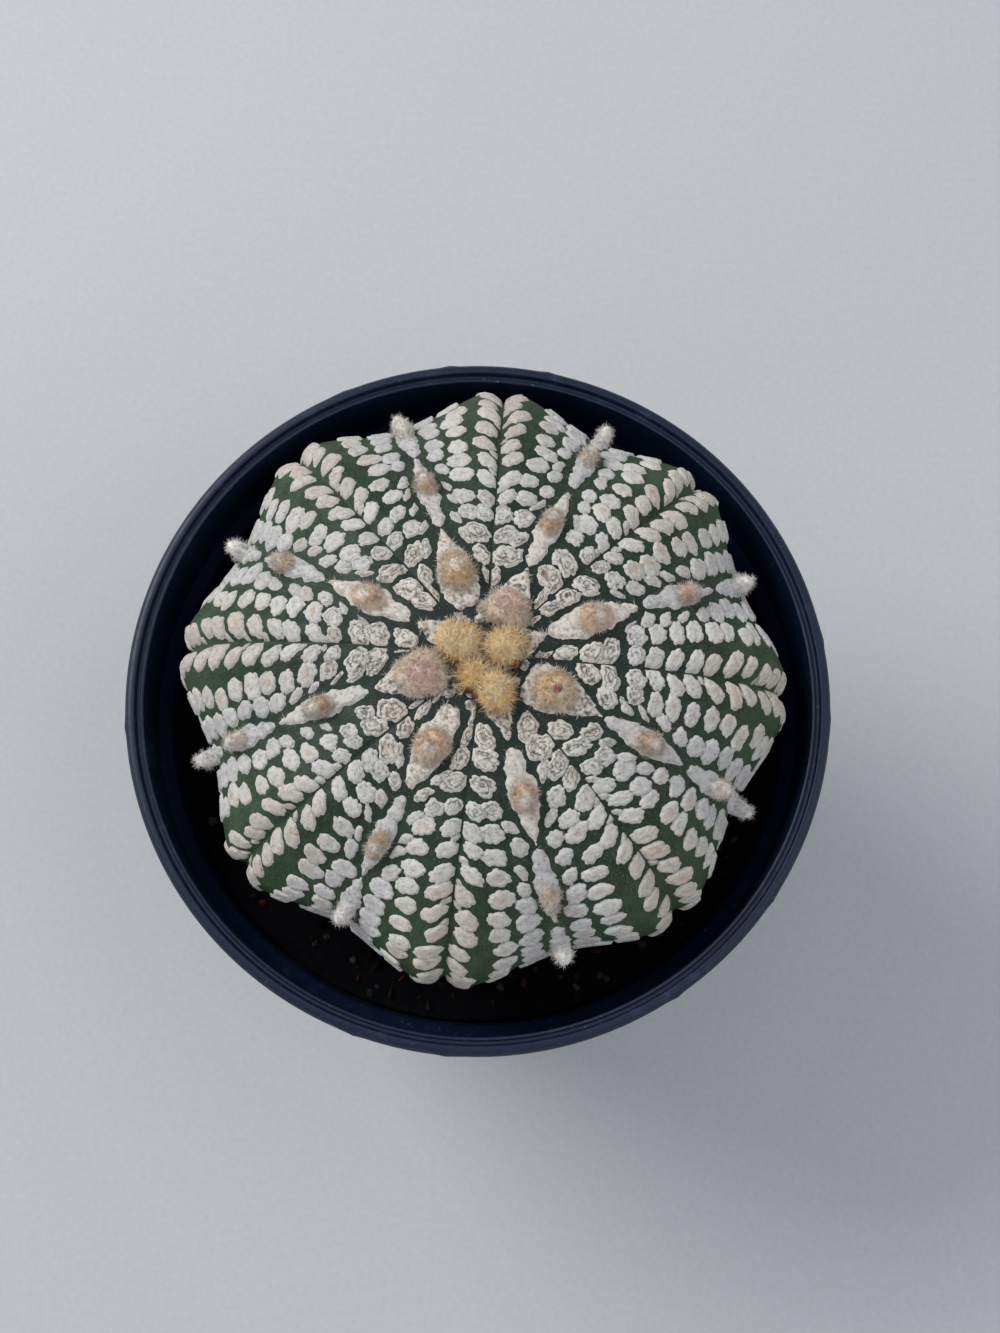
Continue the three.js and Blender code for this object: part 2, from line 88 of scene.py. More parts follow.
def mesh_object(name, points, faces, attributes=None):
    """A smooth-shaded mesh object from points in millimetres and faces all of one size."""
    points = np.asarray(points, dtype=np.float64).reshape(-1, 3) * MM
    mesh = bpy.data.meshes.new(name)
    mesh.from_pydata(points, [], np.asarray(faces).tolist(), shade_flat=False)
    for key, values in (attributes or {}).items():
        values = np.asarray(values, dtype=np.float32).reshape(len(points), -1)
        if values.shape[1] == 1:
            mesh.attributes.new(key, "FLOAT", "POINT").data.foreach_set("value", values.ravel())
        else:
            rgba = np.pad(values, ((0, 0), (0, 1)), constant_values=1)
            mesh.attributes.new(key, "FLOAT_COLOR", "POINT").data.foreach_set("color", rgba.ravel())
    mesh.update(calc_edges=True)
    mesh.validate()
    obj = bpy.data.objects.new(name, mesh)
    bpy.context.collection.objects.link(obj)
    return obj


def ring_quads(rows, columns):
    """Quads of a grid whose columns close into a ring; row 0 is first."""
    row, column = np.meshgrid(np.arange(rows - 1), np.arange(columns), indexing="ij")
    beside = (column + 1) % columns
    quads = [row * columns + column, (row + 1) * columns + column,
             (row + 1) * columns + beside, row * columns + beside]
    return np.stack(quads, axis=-1).reshape(-1, 4)


def rounded(profile, radius=0.12, steps=3):
    """The profile with each corner given as a third value of 1 rounded by a short curve."""
    out = []
    for i, (r, z, is_round) in enumerate(profile):
        if not is_round:
            out.append((r, z))
            continue
        here = np.array([r, z])
        before = np.array(profile[i - 1][:2]) - here
        after = np.array(profile[i + 1][:2]) - here
        reach = min(radius, np.linalg.norm(before) * 0.45, np.linalg.norm(after) * 0.45)
        start = here + before / np.linalg.norm(before) * reach
        end = here + after / np.linalg.norm(after) * reach
        for t in np.linspace(0, 1, steps + 1):
            out.append(tuple((1 - t) ** 2 * start + 2 * t * (1 - t) * here + t * t * end))
    return np.array(out)


def wall_radius(z):
    return FOOT_RADIUS + (BODY_RADIUS - FOOT_RADIUS) * z / LEDGE_Z - WALL


band_radius = RIM_RADIUS - RIM_BAND
lip_radius = band_radius - RIM_GROOVE
inside_radius = lip_radius - RIM_LIP
collar_radius = RIM_RADIUS - 0.7
axis_gap = 0.02
pot_section = rounded([
    (axis_gap, FLOOR_UNDER, 0),
    (FOOT_RADIUS - FOOT_WIDTH - 0.4, FLOOR_UNDER, 1),
    (FOOT_RADIUS - FOOT_WIDTH, 0, 1),
    (FOOT_RADIUS - 0.3, 0, 1),
    (FOOT_RADIUS, 0.4, 1),
    (BODY_RADIUS - 0.2, LEDGE_Z - 2.0, 0),
    (BODY_RADIUS, LEDGE_Z - 0.6, 1),
    (collar_radius - 0.5, LEDGE_Z - 0.4, 1),
    (collar_radius - 0.2, LEDGE_Z + 0.2, 1),
    (collar_radius - 0.1, LEDGE_Z + 4, 0),
    (collar_radius, POT_HEIGHT - 3, 1),
    (RIM_RADIUS, POT_HEIGHT - 2, 1),
    (RIM_RADIUS, POT_HEIGHT - 0.6, 1),
    (RIM_RADIUS - 0.35, POT_HEIGHT - 0.1, 1),
    (RIM_RADIUS - 0.7, POT_HEIGHT, 1),
    (band_radius + 0.2, POT_HEIGHT, 1),
    (band_radius, POT_HEIGHT - RIM_STEP, 1),
    (lip_radius, POT_HEIGHT - RIM_STEP, 1),
    (lip_radius - 0.05, POT_HEIGHT - RIM_STEP + 0.3, 1),
    (inside_radius, POT_HEIGHT - RIM_STEP + 0.2, 1),
    (inside_radius - 0.3, LEDGE_Z + 1.2, 1),
    (wall_radius(LEDGE_Z), LEDGE_Z, 1),
    (wall_radius(LEDGE_Z / 2), LEDGE_Z / 2, 0),
    (wall_radius(FLOOR_TOP), FLOOR_TOP, 1),
    (axis_gap, FLOOR_TOP, 0),
])
turn = np.radians(np.arange(POT_SIDES) * 360 / POT_SIDES)
flash = np.zeros(POT_SIDES)
for angle in FLASH_ANGLES:
    away = (np.degrees(turn) - angle + 180) % 360 - 180
    flash += np.exp(-((away / 0.9) ** 2))
section_r, section_z = pot_section[:, 0], pot_section[:, 1]
on_rim = np.exp(-(((section_r - RIM_RADIUS) / 0.25) ** 2)) * (section_z > POT_HEIGHT - 2.2)
pot_r = section_r[:, None] + FLASH_HEIGHT * on_rim[:, None] * flash[None, :]
pot_z = np.repeat(section_z[:, None], POT_SIDES, axis=1)
pot_points = np.stack([pot_r * np.cos(turn), pot_r * np.sin(turn), pot_z], axis=-1)
shell = mesh_object("pot_shell", pot_points, ring_quads(len(pot_section), POT_SIDES)[:, ::-1])


def close_holes(obj):
    """Fills the pinholes at the poles, so that the mesh is one closed skin."""
    work = bmesh.new()
    work.from_mesh(obj.data)
    open_edges = [edge for edge in work.edges if edge.is_boundary]
    bmesh.ops.holes_fill(work, edges=open_edges, sides=0)
    bmesh.ops.recalc_face_normals(work, faces=work.faces)
    work.to_mesh(obj.data)
    work.free()


def baked(obj, name):
    """The object with its modifiers made a plain mesh under a new name."""
    graph = bpy.context.evaluated_depsgraph_get()
    mesh = bpy.data.meshes.new_from_object(obj.evaluated_get(graph))
    mesh.name = name
    out = bpy.data.objects.new(name, mesh)
    bpy.context.collection.objects.link(out)
    bpy.data.objects.remove(obj, do_unlink=True)
    return out


close_holes(shell)
drains = bpy.data.collections.new("drains")
for i in range(DRAIN_COUNT):
    angle = 2 * math.pi * i / DRAIN_COUNT
    place = (DRAIN_CIRCLE * math.cos(angle) * MM, DRAIN_CIRCLE * math.sin(angle) * MM, 0)
    bpy.ops.mesh.primitive_cylinder_add(vertices=32, radius=DRAIN_RADIUS * MM, depth=DRILL_DEPTH * MM,
                                        location=place)
    drains.objects.link(bpy.context.object)
drilled = shell.modifiers.new("drain holes", "BOOLEAN")
drilled.operation = "DIFFERENCE"
drilled.operand_type = "COLLECTION"
drilled.collection = drains
drilled.solver = "EXACT"
pot = baked(shell, "pot_moulded")
for drain in list(drains.objects):
    bpy.data.objects.remove(drain, do_unlink=True)
bpy.data.collections.remove(drains)
pot.data.shade_smooth()


class Nodes:
    """A node tree whose nodes are added by short calls."""

    def add(self, kind, wires=None, **settings):
        node = self.tree.nodes.new(kind)
        for key, value in settings.items():
            setattr(node, key, value)
        for key, value in (wires or {}).items():
            self.wire(node.inputs[key], value)
        return node

    def out(self, kind, wires=None, **settings):
        """The first output of a new node."""
        return self.add(kind, wires, **settings).outputs[0]

    def wire(self, socket, value):
        if isinstance(value, bpy.types.NodeSocket):
            self.tree.links.new(value, socket)
        elif value is not None:
            is_colour = socket.type == "RGBA" and len(value) == 3
            socket.default_value = (*value, 1) if is_colour else value


class Finish(Nodes):
    """A material and the layers that it is built from."""

    def __init__(self, name):
        self.material = bpy.data.materials.new(name)
        self.material.use_nodes = True
        self.tree = self.material.node_tree
        self.shader = self.tree.nodes["Principled BSDF"]
        self.place = self.add("ShaderNodeTexCoord").outputs["Object"]

    def noise(self, scale, detail=3.0, roughness=0.6, place=None, stretch=None, depth=None):
        place = place or self.place
        if stretch:
            place = self.out("ShaderNodeMapping", {"Scale": stretch, "Vector": place})
        wires = {"Vector": place, "Scale": scale, "Detail": detail, "Roughness": roughness}
        if depth:
            return self.out("ShaderNodeTexNoise", {**wires, "W": depth}, noise_dimensions="4D")
        return self.out("ShaderNodeTexNoise", wires)

    def attribute(self, name, output="Fac"):
        return self.add("ShaderNodeAttribute", attribute_name=name).outputs[output]

    def ramp(self, value, *stops):
        """A colour or grey ramp: stops are (position, grey or (r, g, b))."""
        node = self.add("ShaderNodeValToRGB", {"Fac": value})
        elements = node.color_ramp.elements
        while len(elements) < len(stops):
            elements.new(0.5)
        for element, (position, colour) in zip(elements, stops):
            element.position = position
            grey = (colour,) * 3 if isinstance(colour, (int, float)) else colour
            element.color = (*grey, 1)
        return node.outputs["Color"]

    def mix(self, factor, a, b, mode="MIX"):
        wires = {0: factor, 6: a, 7: b}
        return self.add("ShaderNodeMix", wires, data_type="RGBA", blend_type=mode).outputs[2]

    def math(self, operation, *values):
        return self.out("ShaderNodeMath", dict(enumerate(values)), operation=operation)

    def vector(self, operation, *values):
        node = self.add("ShaderNodeVectorMath", dict(enumerate(values)), operation=operation)
        return node.outputs["Value" if operation == "LENGTH" else "Vector"]

    def bump(self, *layers):
        """Bump layers of (height, distance in millimetres, strength), coarse first."""
        normal = None
        for height, distance, strength in layers:
            normal = self.out("ShaderNodeBump", {
                "Strength": strength, "Distance": distance * MM, "Height": height, "Normal": normal})
        self.wire(self.shader.inputs["Normal"], normal)

    def set(self, **values):
        for key, value in values.items():
            socket = self.shader.inputs[key.replace("_", " ").title().replace("Ior", "IOR")]
            self.wire(socket, value)

    def put_on(self, obj):
        obj.data.materials.clear()
        obj.data.materials.append(self.material)


def srgb(*screen):
    """A colour given as 0 to 255 screen values, as the linear light that shaders take."""
    return np.array([v / 255 / 12.92 if v <= 10 else ((v / 255 + 0.055) / 1.055) ** 2.4 for v in screen])


plastic = Finish("black_moulded_plastic")
cloud = plastic.noise(60, 4)
fine = plastic.noise(900, 4)
dust = plastic.ramp(plastic.noise(2600, 2, 0.7), (0.66, 0.0), (0.74, 1.0))
dust_patch = plastic.ramp(plastic.noise(160, 3), (0.42, 0.0), (0.66, 1.0))
scuff = plastic.ramp(plastic.noise(420, 3, stretch=(1.0, 1.0, 0.15)), (0.6, 0.0), (0.72, 1.0))
specks = plastic.math("MULTIPLY", dust, dust_patch)
# The plastic is near black; the navy in its colour is a painted reflection of a blue surrounding.
black_with_painted_blue_reflection = plastic.mix(cloud, srgb(11, 22, 45), srgb(18, 32, 62))
scuffed = plastic.mix(plastic.math("MULTIPLY", scuff, 0.16), black_with_painted_blue_reflection, srgb(84, 94, 122))
plastic.set(base_color=plastic.mix(plastic.math("MULTIPLY", specks, 0.5), scuffed, srgb(168, 172, 184)),
            roughness=plastic.ramp(fine, (0.3, 0.36), (0.7, 0.52)), specular_ior_level=0.42)
plastic.bump((fine, 0.03, 0.4), (specks, 0.05, 0.4))
plastic.put_on(pot)
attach(pot, "root")
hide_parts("pot")

# Potting mix
# Dark peat with fine grit, filled by hand to about 13 mm under the rim and settled by watering. Its top
# is crumbly, with small stones and crumbs of bark on it. Peat, stones and bark are painted darker and
# bluer, as shade inside the pot.
SOIL_TOP = 56.6
SEAT_GAP = 0.3
SOIL_RING = 240
SOIL_TOP_RINGS = 44
CRUMB_BED_RINGS = 16
GRIT_DENSITY = 1.1e5
BARK_DENSITY = 1.0e5
HOLE_RADIUS = 17.0


def grain(points, scale, seed):
    """Smooth repeatable noise from -1 to 1, with one bump per scale, at points of 2 or 3 coordinates."""
    p = np.asarray(points, dtype=np.float64) / scale
    cell = np.floor(p).astype(np.int64)
    part = p - cell
    part = part * part * (3 - 2 * part)
    total = np.zeros(p.shape[:-1])
    primes = (374761393, 668265263, 2246822519)
    for corner in itertools.product((0, 1), repeat=p.shape[-1]):
        mixed = np.full(p.shape[:-1], seed * 3266489917, dtype=np.int64)
        weight = np.ones(p.shape[:-1])
        for axis, step in enumerate(corner):
            mixed = mixed + (cell[..., axis] + step) * primes[axis]
            weight = weight * (part[..., axis] if step else 1 - part[..., axis])
        mixed = (mixed ^ (mixed >> 13)) * 1274126177
        mixed = mixed ^ (mixed >> 16)
        total += weight * ((mixed & 0xFFFF) / 32767.5 - 1)
    return total


mix_outer = wall_radius(SOIL_TOP) - SEAT_GAP
rings_r = np.concatenate([np.linspace(HOLE_RADIUS, mix_outer, SOIL_TOP_RINGS),
                          [mix_outer, wall_radius(FLOOR_TOP) - SEAT_GAP, 4.0]])
mix_turn = np.radians(np.arange(SOIL_RING) * 360 / SOIL_RING)
mix_x = rings_r[:, None] * np.cos(mix_turn)
mix_y = rings_r[:, None] * np.sin(mix_turn)
plan = np.stack([mix_x, mix_y], axis=-1)
mix_z = SOIL_TOP - 0.3 + 0.5 * grain(plan, 3.1, 3) + 0.3 * grain(plan, 1.2, 4) + 0.15 * grain(plan, 0.55, 5)
mix_z[-3] = SOIL_TOP - 1.2
mix_z[-2:] = FLOOR_TOP + SEAT_GAP
mix_points = np.stack([mix_x, mix_y, mix_z], axis=-1)
mix = mesh_object("potting_mix_fill", mix_points, ring_quads(len(rings_r), SOIL_RING))


class Planting(Nodes):
    """A geometry node tree with named inputs that plants copies of a thing on a mesh."""

    def __init__(self, name, **more_inputs):
        self.tree = bpy.data.node_groups.new(name, "GeometryNodeTree")
        face = self.tree.interface
        for in_out in ("INPUT", "OUTPUT"):
            face.new_socket("Geometry", in_out=in_out, socket_type="NodeSocketGeometry")
        inputs = {"Thing": "Object", "Skin": "Material", "Density": 1.0, "Smallest": 1.0, "Largest": 1.0,
                  "Seed": 1, **more_inputs}
        kinds = {float: "Float", int: "Int"}
        for key, value in inputs.items():
            kind = kinds.get(type(value), value)
            socket = face.new_socket(key, in_out="INPUT", socket_type="NodeSocket" + kind)
            if kind != value:
                socket.default_value = value
        self.given = self.add("NodeGroupInput").outputs
        self.result = self.add("NodeGroupOutput").inputs["Geometry"]

    def strewn(self, density):
        """Points strewn on the mesh."""
        return self.add("GeometryNodeDistributePointsOnFaces", {
            "Mesh": self.given["Geometry"], "Density": density, "Seed": self.given["Seed"]})

    def random(self, low, high):
        """A random value for each point, between two numbers or two vectors."""
        if isinstance(low, tuple):
            return self.out("FunctionNodeRandomValue", {0: low, 1: high}, data_type="FLOAT_VECTOR")
        return self.add("FunctionNodeRandomValue", {2: low, 3: high}, data_type="FLOAT").outputs[1]

    def random_size(self):
        return self.random(self.given["Smallest"], self.given["Largest"])

    def plant(self, points, rotation, size):
        """The thing on each point, each with a draw of its own, as the tree's result."""
        shape = self.add("GeometryNodeObjectInfo", {"Object": self.given["Thing"]}).outputs["Geometry"]
        placed = self.out("GeometryNodeInstanceOnPoints", {
            "Points": points, "Instance": shape, "Rotation": rotation, "Scale": size})
        kept = self.out("GeometryNodeStoreNamedAttribute", {
            "Geometry": placed, "Name": "own_draw", "Value": self.random(0.0, 1.0)},
            data_type="FLOAT", domain="INSTANCE")
        wires = {"Geometry": self.out("GeometryNodeRealizeInstances", {"Geometry": kept}),
                 "Material": self.given["Skin"]}
        self.wire(self.result, self.out("GeometryNodeSetMaterial", wires))

    def grown_on(self, obj, name, thing, finish, density, smallest, largest, seed, **more):
        """The mesh that the tree makes from the object, which is used up."""
        modifier = obj.modifiers.new(self.tree.name, "NODES")
        modifier.node_group = self.tree
        values = {"Thing": thing, "Skin": finish.material, "Density": density, "Smallest": smallest,
                  "Largest": largest, "Seed": seed, **more}
        for item in self.tree.interface.items_tree:
            if item.name in values:
                modifier[item.identifier] = values[item.name]
        return baked(obj, name)


crumbs = Planting("crumbs on the mix")
crumb_size = crumbs.random_size()
crumbs.wire(crumb_size.node.inputs["Seed"], crumbs.given["Seed"])
crumbs.plant(crumbs.strewn(crumbs.given["Density"]).outputs["Points"],
             crumbs.random((0, 0, 0), (6.28, 6.28, 6.28)), crumb_size)


def stone(name, squash, seed):
    """A small angular stone or crumb one millimetre across."""
    bpy.ops.mesh.primitive_ico_sphere_add(subdivisions=2, radius=0.5 * MM)
    obj = bpy.context.object
    obj.name = name
    points = np.array([v.co for v in obj.data.vertices]) / MM
    swell = 1 + 0.28 * grain(points, 0.42, seed) + 0.12 * grain(points, 0.2, seed + 1)
    for vertex, point, s in zip(obj.data.vertices, points, swell):
        vertex.co = point * s * np.array(squash) * MM
    return obj


def crumb_layer(name, crumb, finish, density, smallest, largest, seed):
    """Copies of one crumb strewn on the mix, from the smallest to the largest scale."""
    ring = np.linspace(HOLE_RADIUS + 1, mix_outer - 0.8, CRUMB_BED_RINGS)
    bed_x = ring[:, None] * np.cos(mix_turn[::4])
    bed_y = ring[:, None] * np.sin(mix_turn[::4])
    bed_z = SOIL_TOP - 0.35 + 0.5 * grain(np.stack([bed_x, bed_y], axis=-1), 3.1, 3)
    points = np.stack([bed_x, bed_y, bed_z], axis=-1)
    bed = mesh_object(name + "_bed", points, ring_quads(len(ring), SOIL_RING // 4))
    layer = crumbs.grown_on(bed, name, crumb, finish, density, smallest, largest, seed)
    bpy.data.objects.remove(crumb, do_unlink=True)
    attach(layer, "root")


peat = Finish("damp_peat")
lumps = peat.noise(700, 5)
# Painted shade: the peat's tones are set near black and tinted blue for the shade inside the pot.
peat_tone_and_painted_shade = peat.ramp(lumps, (0.3, srgb(4, 6, 10)), (0.55, srgb(10, 11, 16)), (0.75, srgb(22, 20, 23)))
peat.set(base_color=peat_tone_and_painted_shade, roughness=peat.ramp(lumps, (0.3, 0.8), (0.7, 0.95)), specular_ior_level=0.1)
peat.bump((lumps, 0.35, 0.8), (peat.noise(3000, 3), 0.08, 0.6))
peat.put_on(mix)
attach(mix, "root")
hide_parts("potting_mix")


def crumb_finish(name, scale, tones, mottling, roughness, bump):
    """Stone or bark, veined and with a tone of its own for each crumb."""
    finish = Finish(name)
    vein = finish.noise(scale, 4)
    tone = finish.ramp(finish.attribute("own_draw"), *tones)
    finish.set(base_color=finish.mix(vein, tone, mottling, "MULTIPLY"),
               roughness=finish.ramp(vein, *roughness), specular_ior_level=0.15)
    finish.bump((vein, *bump))
    return finish


# Painted shade: the stones' and bark crumbs' tones are set darker than their own colour, for the shade inside
# the pot.
grit_finish = crumb_finish(
    "pale_grit", 1500, ((0.0, srgb(34, 31, 32)), (0.6, srgb(56, 52, 52)), (0.88, srgb(98, 94, 93)),
                        (1.0, srgb(112, 70, 48))), srgb(58, 50, 44), ((0.3, 0.6), (0.7, 0.85)), (0.08, 0.6))
crumb_layer("grit", stone("grit_stone", (1.0, 0.8, 0.7), 11), grit_finish, GRIT_DENSITY, 0.5, 1.5, 4)
bark_finish = crumb_finish(
    "bark_crumb", 1800, ((0.0, srgb(26, 18, 14)), (0.7, srgb(52, 34, 24)), (1.0, srgb(128, 62, 34))),
    srgb(90, 76, 66), ((0.0, 0.88), (1.0, 0.88)), (0.1, 0.8))
crumb_layer("bark_crumbs", stone("bark_bit", (1.3, 0.7, 0.35), 23), bark_finish, BARK_DENSITY, 0.7, 1.9, 9)

# Cactus stem
# The plant's living body: one low, soft, spineless stem that narrows under its equator into a neck and a
# stout taproot. Eight broad ribs each carry their areoles in a shallow valley, and a sharp groove parts
# each rib from the next. Its skin is blue-green at the crown and olive, with faint fibres, below.
PLANT_X = 0.55
PLANT_Y = 1.66
EQUATOR_Z = 69.5
STEM_RADIUS = 34.7
STEM_RISE = 13.8
STEM_POWER = 2.25
UNDER_DROP = 28.0
NECK_RADIUS = 11.0
ROOT_LENGTH = 24.0
ROOT_TAPER = 0.75
RIBS = 8
RIB_ANGLE = 360 / RIBS
FIRST_RIB = 17.5
VALLEY_DEPTH = 3.5
VALLEY_POWER = 0.8
GROOVE_DEPTH = 1.6
GROOVE_SPAN = 0.24
GROOVE_POWER = 1.8
# The ribs lean round the stem once and twice a turn: by how much and where most, in degrees.
LEAN_ONE = (2.2, 44)
LEAN_TWO = (0.7, 8)
TABLE_STEPS = 400


def smooth(low, high, value):
    t = np.clip((value - low) / (high - low), 0, 1)
    return t * t * (3 - 2 * t)


def toward(colour, other, share):
    """Colours moved towards another colour by a share for each point."""
    return colour + (other - colour) * np.asarray(share)[..., None]


def meridian_table():
    """Distance along the skin, radius and height, from the apex over the equator to the root's tip."""
    t = np.linspace(0, 1, TABLE_STEPS + 1)
    quarter = t * math.pi / 2
    power = 2 / STEM_POWER
    dome = np.stack([STEM_RADIUS * np.sin(quarter) ** power, STEM_RISE * np.abs(np.cos(quarter)) ** power])
    swell = (1 + np.cos(math.pi * t[1:])) / 2
    under = np.stack([NECK_RADIUS + (STEM_RADIUS - NECK_RADIUS) * swell, -UNDER_DROP * t[1:]])
    root = np.stack([NECK_RADIUS * (1 - t[1:]) ** ROOT_TAPER, -UNDER_DROP - ROOT_LENGTH * t[1:]])
    r, z = np.concatenate([dome, under, root], axis=1)
    s = np.concatenate([[0], np.cumsum(np.hypot(np.diff(r), np.diff(z)))])
    return s, r, z


MERIDIAN = meridian_table()
EQUATOR_S = MERIDIAN[0][TABLE_STEPS]
TIP_S = MERIDIAN[0][-1]


def on_meridian(s):
    return np.interp(s, MERIDIAN[0], MERIDIAN[1]), np.interp(s, MERIDIAN[0], MERIDIAN[2])


def leaned(angle):
    one = LEAN_ONE[0] * np.cos(np.radians(angle - LEAN_ONE[1]))
    two = LEAN_TWO[0] * np.cos(np.radians(2 * (angle - LEAN_TWO[1])))
    return angle + one + two


def across_rib(angle):
    turn = (angle - FIRST_RIB + RIB_ANGLE / 2) % RIB_ANGLE
    return np.abs(turn - RIB_ANGLE / 2) / (RIB_ANGLE / 2)


def relief_depth(angle, s):
    across = across_rib(angle)
    valley = ((1 + np.cos(np.pi * across)) / 2) ** VALLEY_POWER
    groove = np.clip(1 - (1 - across) / GROOVE_SPAN, 0, 1) ** GROOVE_POWER
    end = 1 - smooth(EQUATOR_S + 4, EQUATOR_S + 12, s)
    valley_depth = VALLEY_DEPTH * smooth(0.2 * EQUATOR_S, 0.95 * EQUATOR_S, s)
    groove_depth = GROOVE_DEPTH * smooth(0.1 * EQUATOR_S, 0.95 * EQUATOR_S, s)
    return end * (valley_depth * valley + groove_depth * groove)


def stem_point(angle, s, lift=0.0):
    """Points of the skin at an angle round the stem and a distance from its apex, in millimetres."""
    r, z = on_meridian(s)
    before_r, before_z = on_meridian(np.maximum(0, s - 0.2))
    after_r, after_z = on_meridian(np.minimum(TIP_S, s + 0.2))
    along = np.hypot(after_r - before_r, after_z - before_z)
    outward = (before_z - after_z) / along
    upward = (after_r - before_r) / along
    out = lift - relief_depth(angle, s)
    turned = np.radians(leaned(angle))
    r = r + outward * out
    return np.stack([PLANT_X + r * np.cos(turned), PLANT_Y + r * np.sin(turned),
                     EQUATOR_Z + z + upward * out], axis=-1)


HALF_COLUMNS = 26
STEM_ROWS = 112
ROOT_ROWS = 14
half = np.linspace(0, 1, HALF_COLUMNS + 1) ** 0.85
half_rib = np.concatenate([-half[:0:-1], half[:-1]])
stem_angles = (FIRST_RIB + RIB_ANGLE * np.arange(RIBS)[:, None] + half_rib * RIB_ANGLE / 2).ravel()
stem_s = np.concatenate([np.linspace(0.05, EQUATOR_S + 12, STEM_ROWS),
                         np.linspace(EQUATOR_S + 14, TIP_S - 0.05, ROOT_ROWS)])
stem_a, stem_row = np.meshgrid(stem_angles, stem_s)
even_skin = stem_point(stem_a, stem_row)
pillow = 0.07 * grain(even_skin, 3.2, 31) + 0.03 * grain(even_skin, 1.1, 32)
stem_points = stem_point(stem_a, stem_row, pillow * smooth(2, 8, stem_row))
chart_x = across_rib(stem_a) * on_meridian(stem_row)[0] * 0.4
stem = mesh_object("stem", stem_points, ring_quads(len(stem_s), len(stem_angles)), {
    "age": stem_row / EQUATOR_S,
    "chart": np.stack([chart_x, stem_row, np.zeros(stem_a.shape)], axis=-1)})
close_holes(stem)

skin = Finish("cactus_skin")
age = skin.attribute("age")
chart = skin.attribute("chart", "Color")
fibre = skin.noise(5.5, 4, 0.65, place=chart, stretch=(1.0, 0.16, 1.0))
blotch = skin.noise(420, 4)
freckle = skin.ramp(skin.noise(5200, 2, 0.6), (0.64, 0.0), (0.72, 1.0))
green = skin.ramp(age, (0.1, srgb(36, 49, 46)), (0.3, srgb(32, 47, 41)), (0.65, srgb(42, 60, 44)),
                  (0.95, srgb(68, 90, 63)))
mottled = skin.mix(skin.ramp(blotch, (0.35, 0.0), (0.7, 0.6)), green, srgb(76, 94, 76), "SOFT_LIGHT")
streaked = skin.math("MULTIPLY", skin.ramp(fibre, (0.45, 0.0), (0.75, 0.4)),
                     skin.ramp(age, (0.2, 0.0), (0.6, 1.0)))
fibred = skin.mix(streaked, mottled, srgb(100, 118, 90))
skin.set(base_color=skin.mix(skin.math("MULTIPLY", freckle, 0.3), fibred, srgb(190, 192, 178)),
         roughness=skin.ramp(blotch, (0.3, 0.5), (0.7, 0.66)), subsurface_weight=0.08,
         subsurface_radius=(0.6, 1.0, 0.4), subsurface_scale=0.0012, specular_ior_level=0.32)
skin.bump((blotch, 0.12, 0.4), (streaked, 0.05, 0.5), (freckle, 0.05, 0.3))
skin.put_on(stem)
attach(stem, "root")
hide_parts("cactus")

# Felt flecks
# White felt scales, tufts of fine matted hairs that grow from the skin itself. They follow chevron rows
# between the areole line and the groove: round, pitted scales at the crown, ovals that run together on
# the shoulder, and bars like ladder rungs beside the grooves near the equator.
FIRST_ROW = 5.0
ROW_PITCH = 2.35
ROW_SAG = 1.7
SAG_START = (6, 16)
SAG_END = (38, 46)
SAG_LOWEST = (0.3, 0.5)
SAG_SHIFT = (16, 26)
ROW_JITTER = 0.25
COLUMN_JITTER = 0.07
LAST_COLUMN = 0.95
# Number of rows, and their column borders from the areole line, 0, to the groove, 1.
FLECK_ZONES = (
    (4, (0, 0.5, LAST_COLUMN, 1)),
    (11, (0, 0.35, 0.66, LAST_COLUMN, 1)),
    (2, (0, 0.5, LAST_COLUMN, 1)),
)
# The small new flecks round the wool: share of the way to the groove, distance, two half sizes.
NEW_FLECKS = ((0.5, 4.3, 0.85, 0.62), (0.62, 5.5, 0.7, 0.5))
FLECK_LONG = 1.4
YOUNG_LONG = 1.7
FLECK_BLEND = 0.06
SCALLOP = 0.14
FELT_START = 3.7
YOUNG_FELT_END = 20.0
WIDEST_FELT = 14.6
YOUNG_FELT_STEP = 0.14
FELT_STEP = 0.17
FELT_THICKNESS = 0.34
SEED = 17.3
AREOLE_START = 1.8
AREOLE_GROWTH = 1.125
AREOLE_SLOWING = 0.03
SLOWING_FROM = 14
NEWEST_DISTANCE = 2.2
TAILED_AREOLES = (0, 1, 2)
TAIL_START = 3.4
FIRST_AREOLE = 3
LAST_AREOLE = 30
LENS_REACH_IN = 0.47
LENS_REACH_IN_YOUNG = 0.56
LENS_REACH_OUT = 0.52
LENS_HALF_WIDTH = 1.4
LENS_YOUNG_EXTRA = 1.3
TAIL_HALF_WIDTH = 1.7
# Outline of a felt patch from its inner to its outer point: share of its length, share of its width.
LENS_OUTLINE = ((0, 0), (0.03, 0.3), (0.08, 0.55), (0.2, 0.68), (0.29, 0.7), (0.35, 0.96), (0.45, 1.0),
                (0.6, 0.9), (0.75, 0.66), (0.88, 0.36), (1, 0))
YOUNG_LENS_OUTLINE = ((0, 0), (0.03, 0.4), (0.1, 0.72), (0.2, 0.9), (0.32, 1.0), (0.5, 0.86), (0.66, 0.6),
                      (0.85, 0.3), (1, 0))


def draw(key):
    """A repeatable draw between 0 and 1 for a whole number."""
    wave = np.sin(np.asarray(key, dtype=np.float64) * 12.9898 + SEED) * 43758.5453
    return wave - np.floor(wave)


def rib_angle(rib):
    return FIRST_RIB + RIB_ANGLE * rib


def half_width(s):
    return math.radians(RIB_ANGLE / 2) * on_meridian(s)[0]


def areole_distance(n):
    return AREOLE_START + max(0, n) ** AREOLE_GROWTH - AREOLE_SLOWING * max(0, n - SLOWING_FROM) ** 2


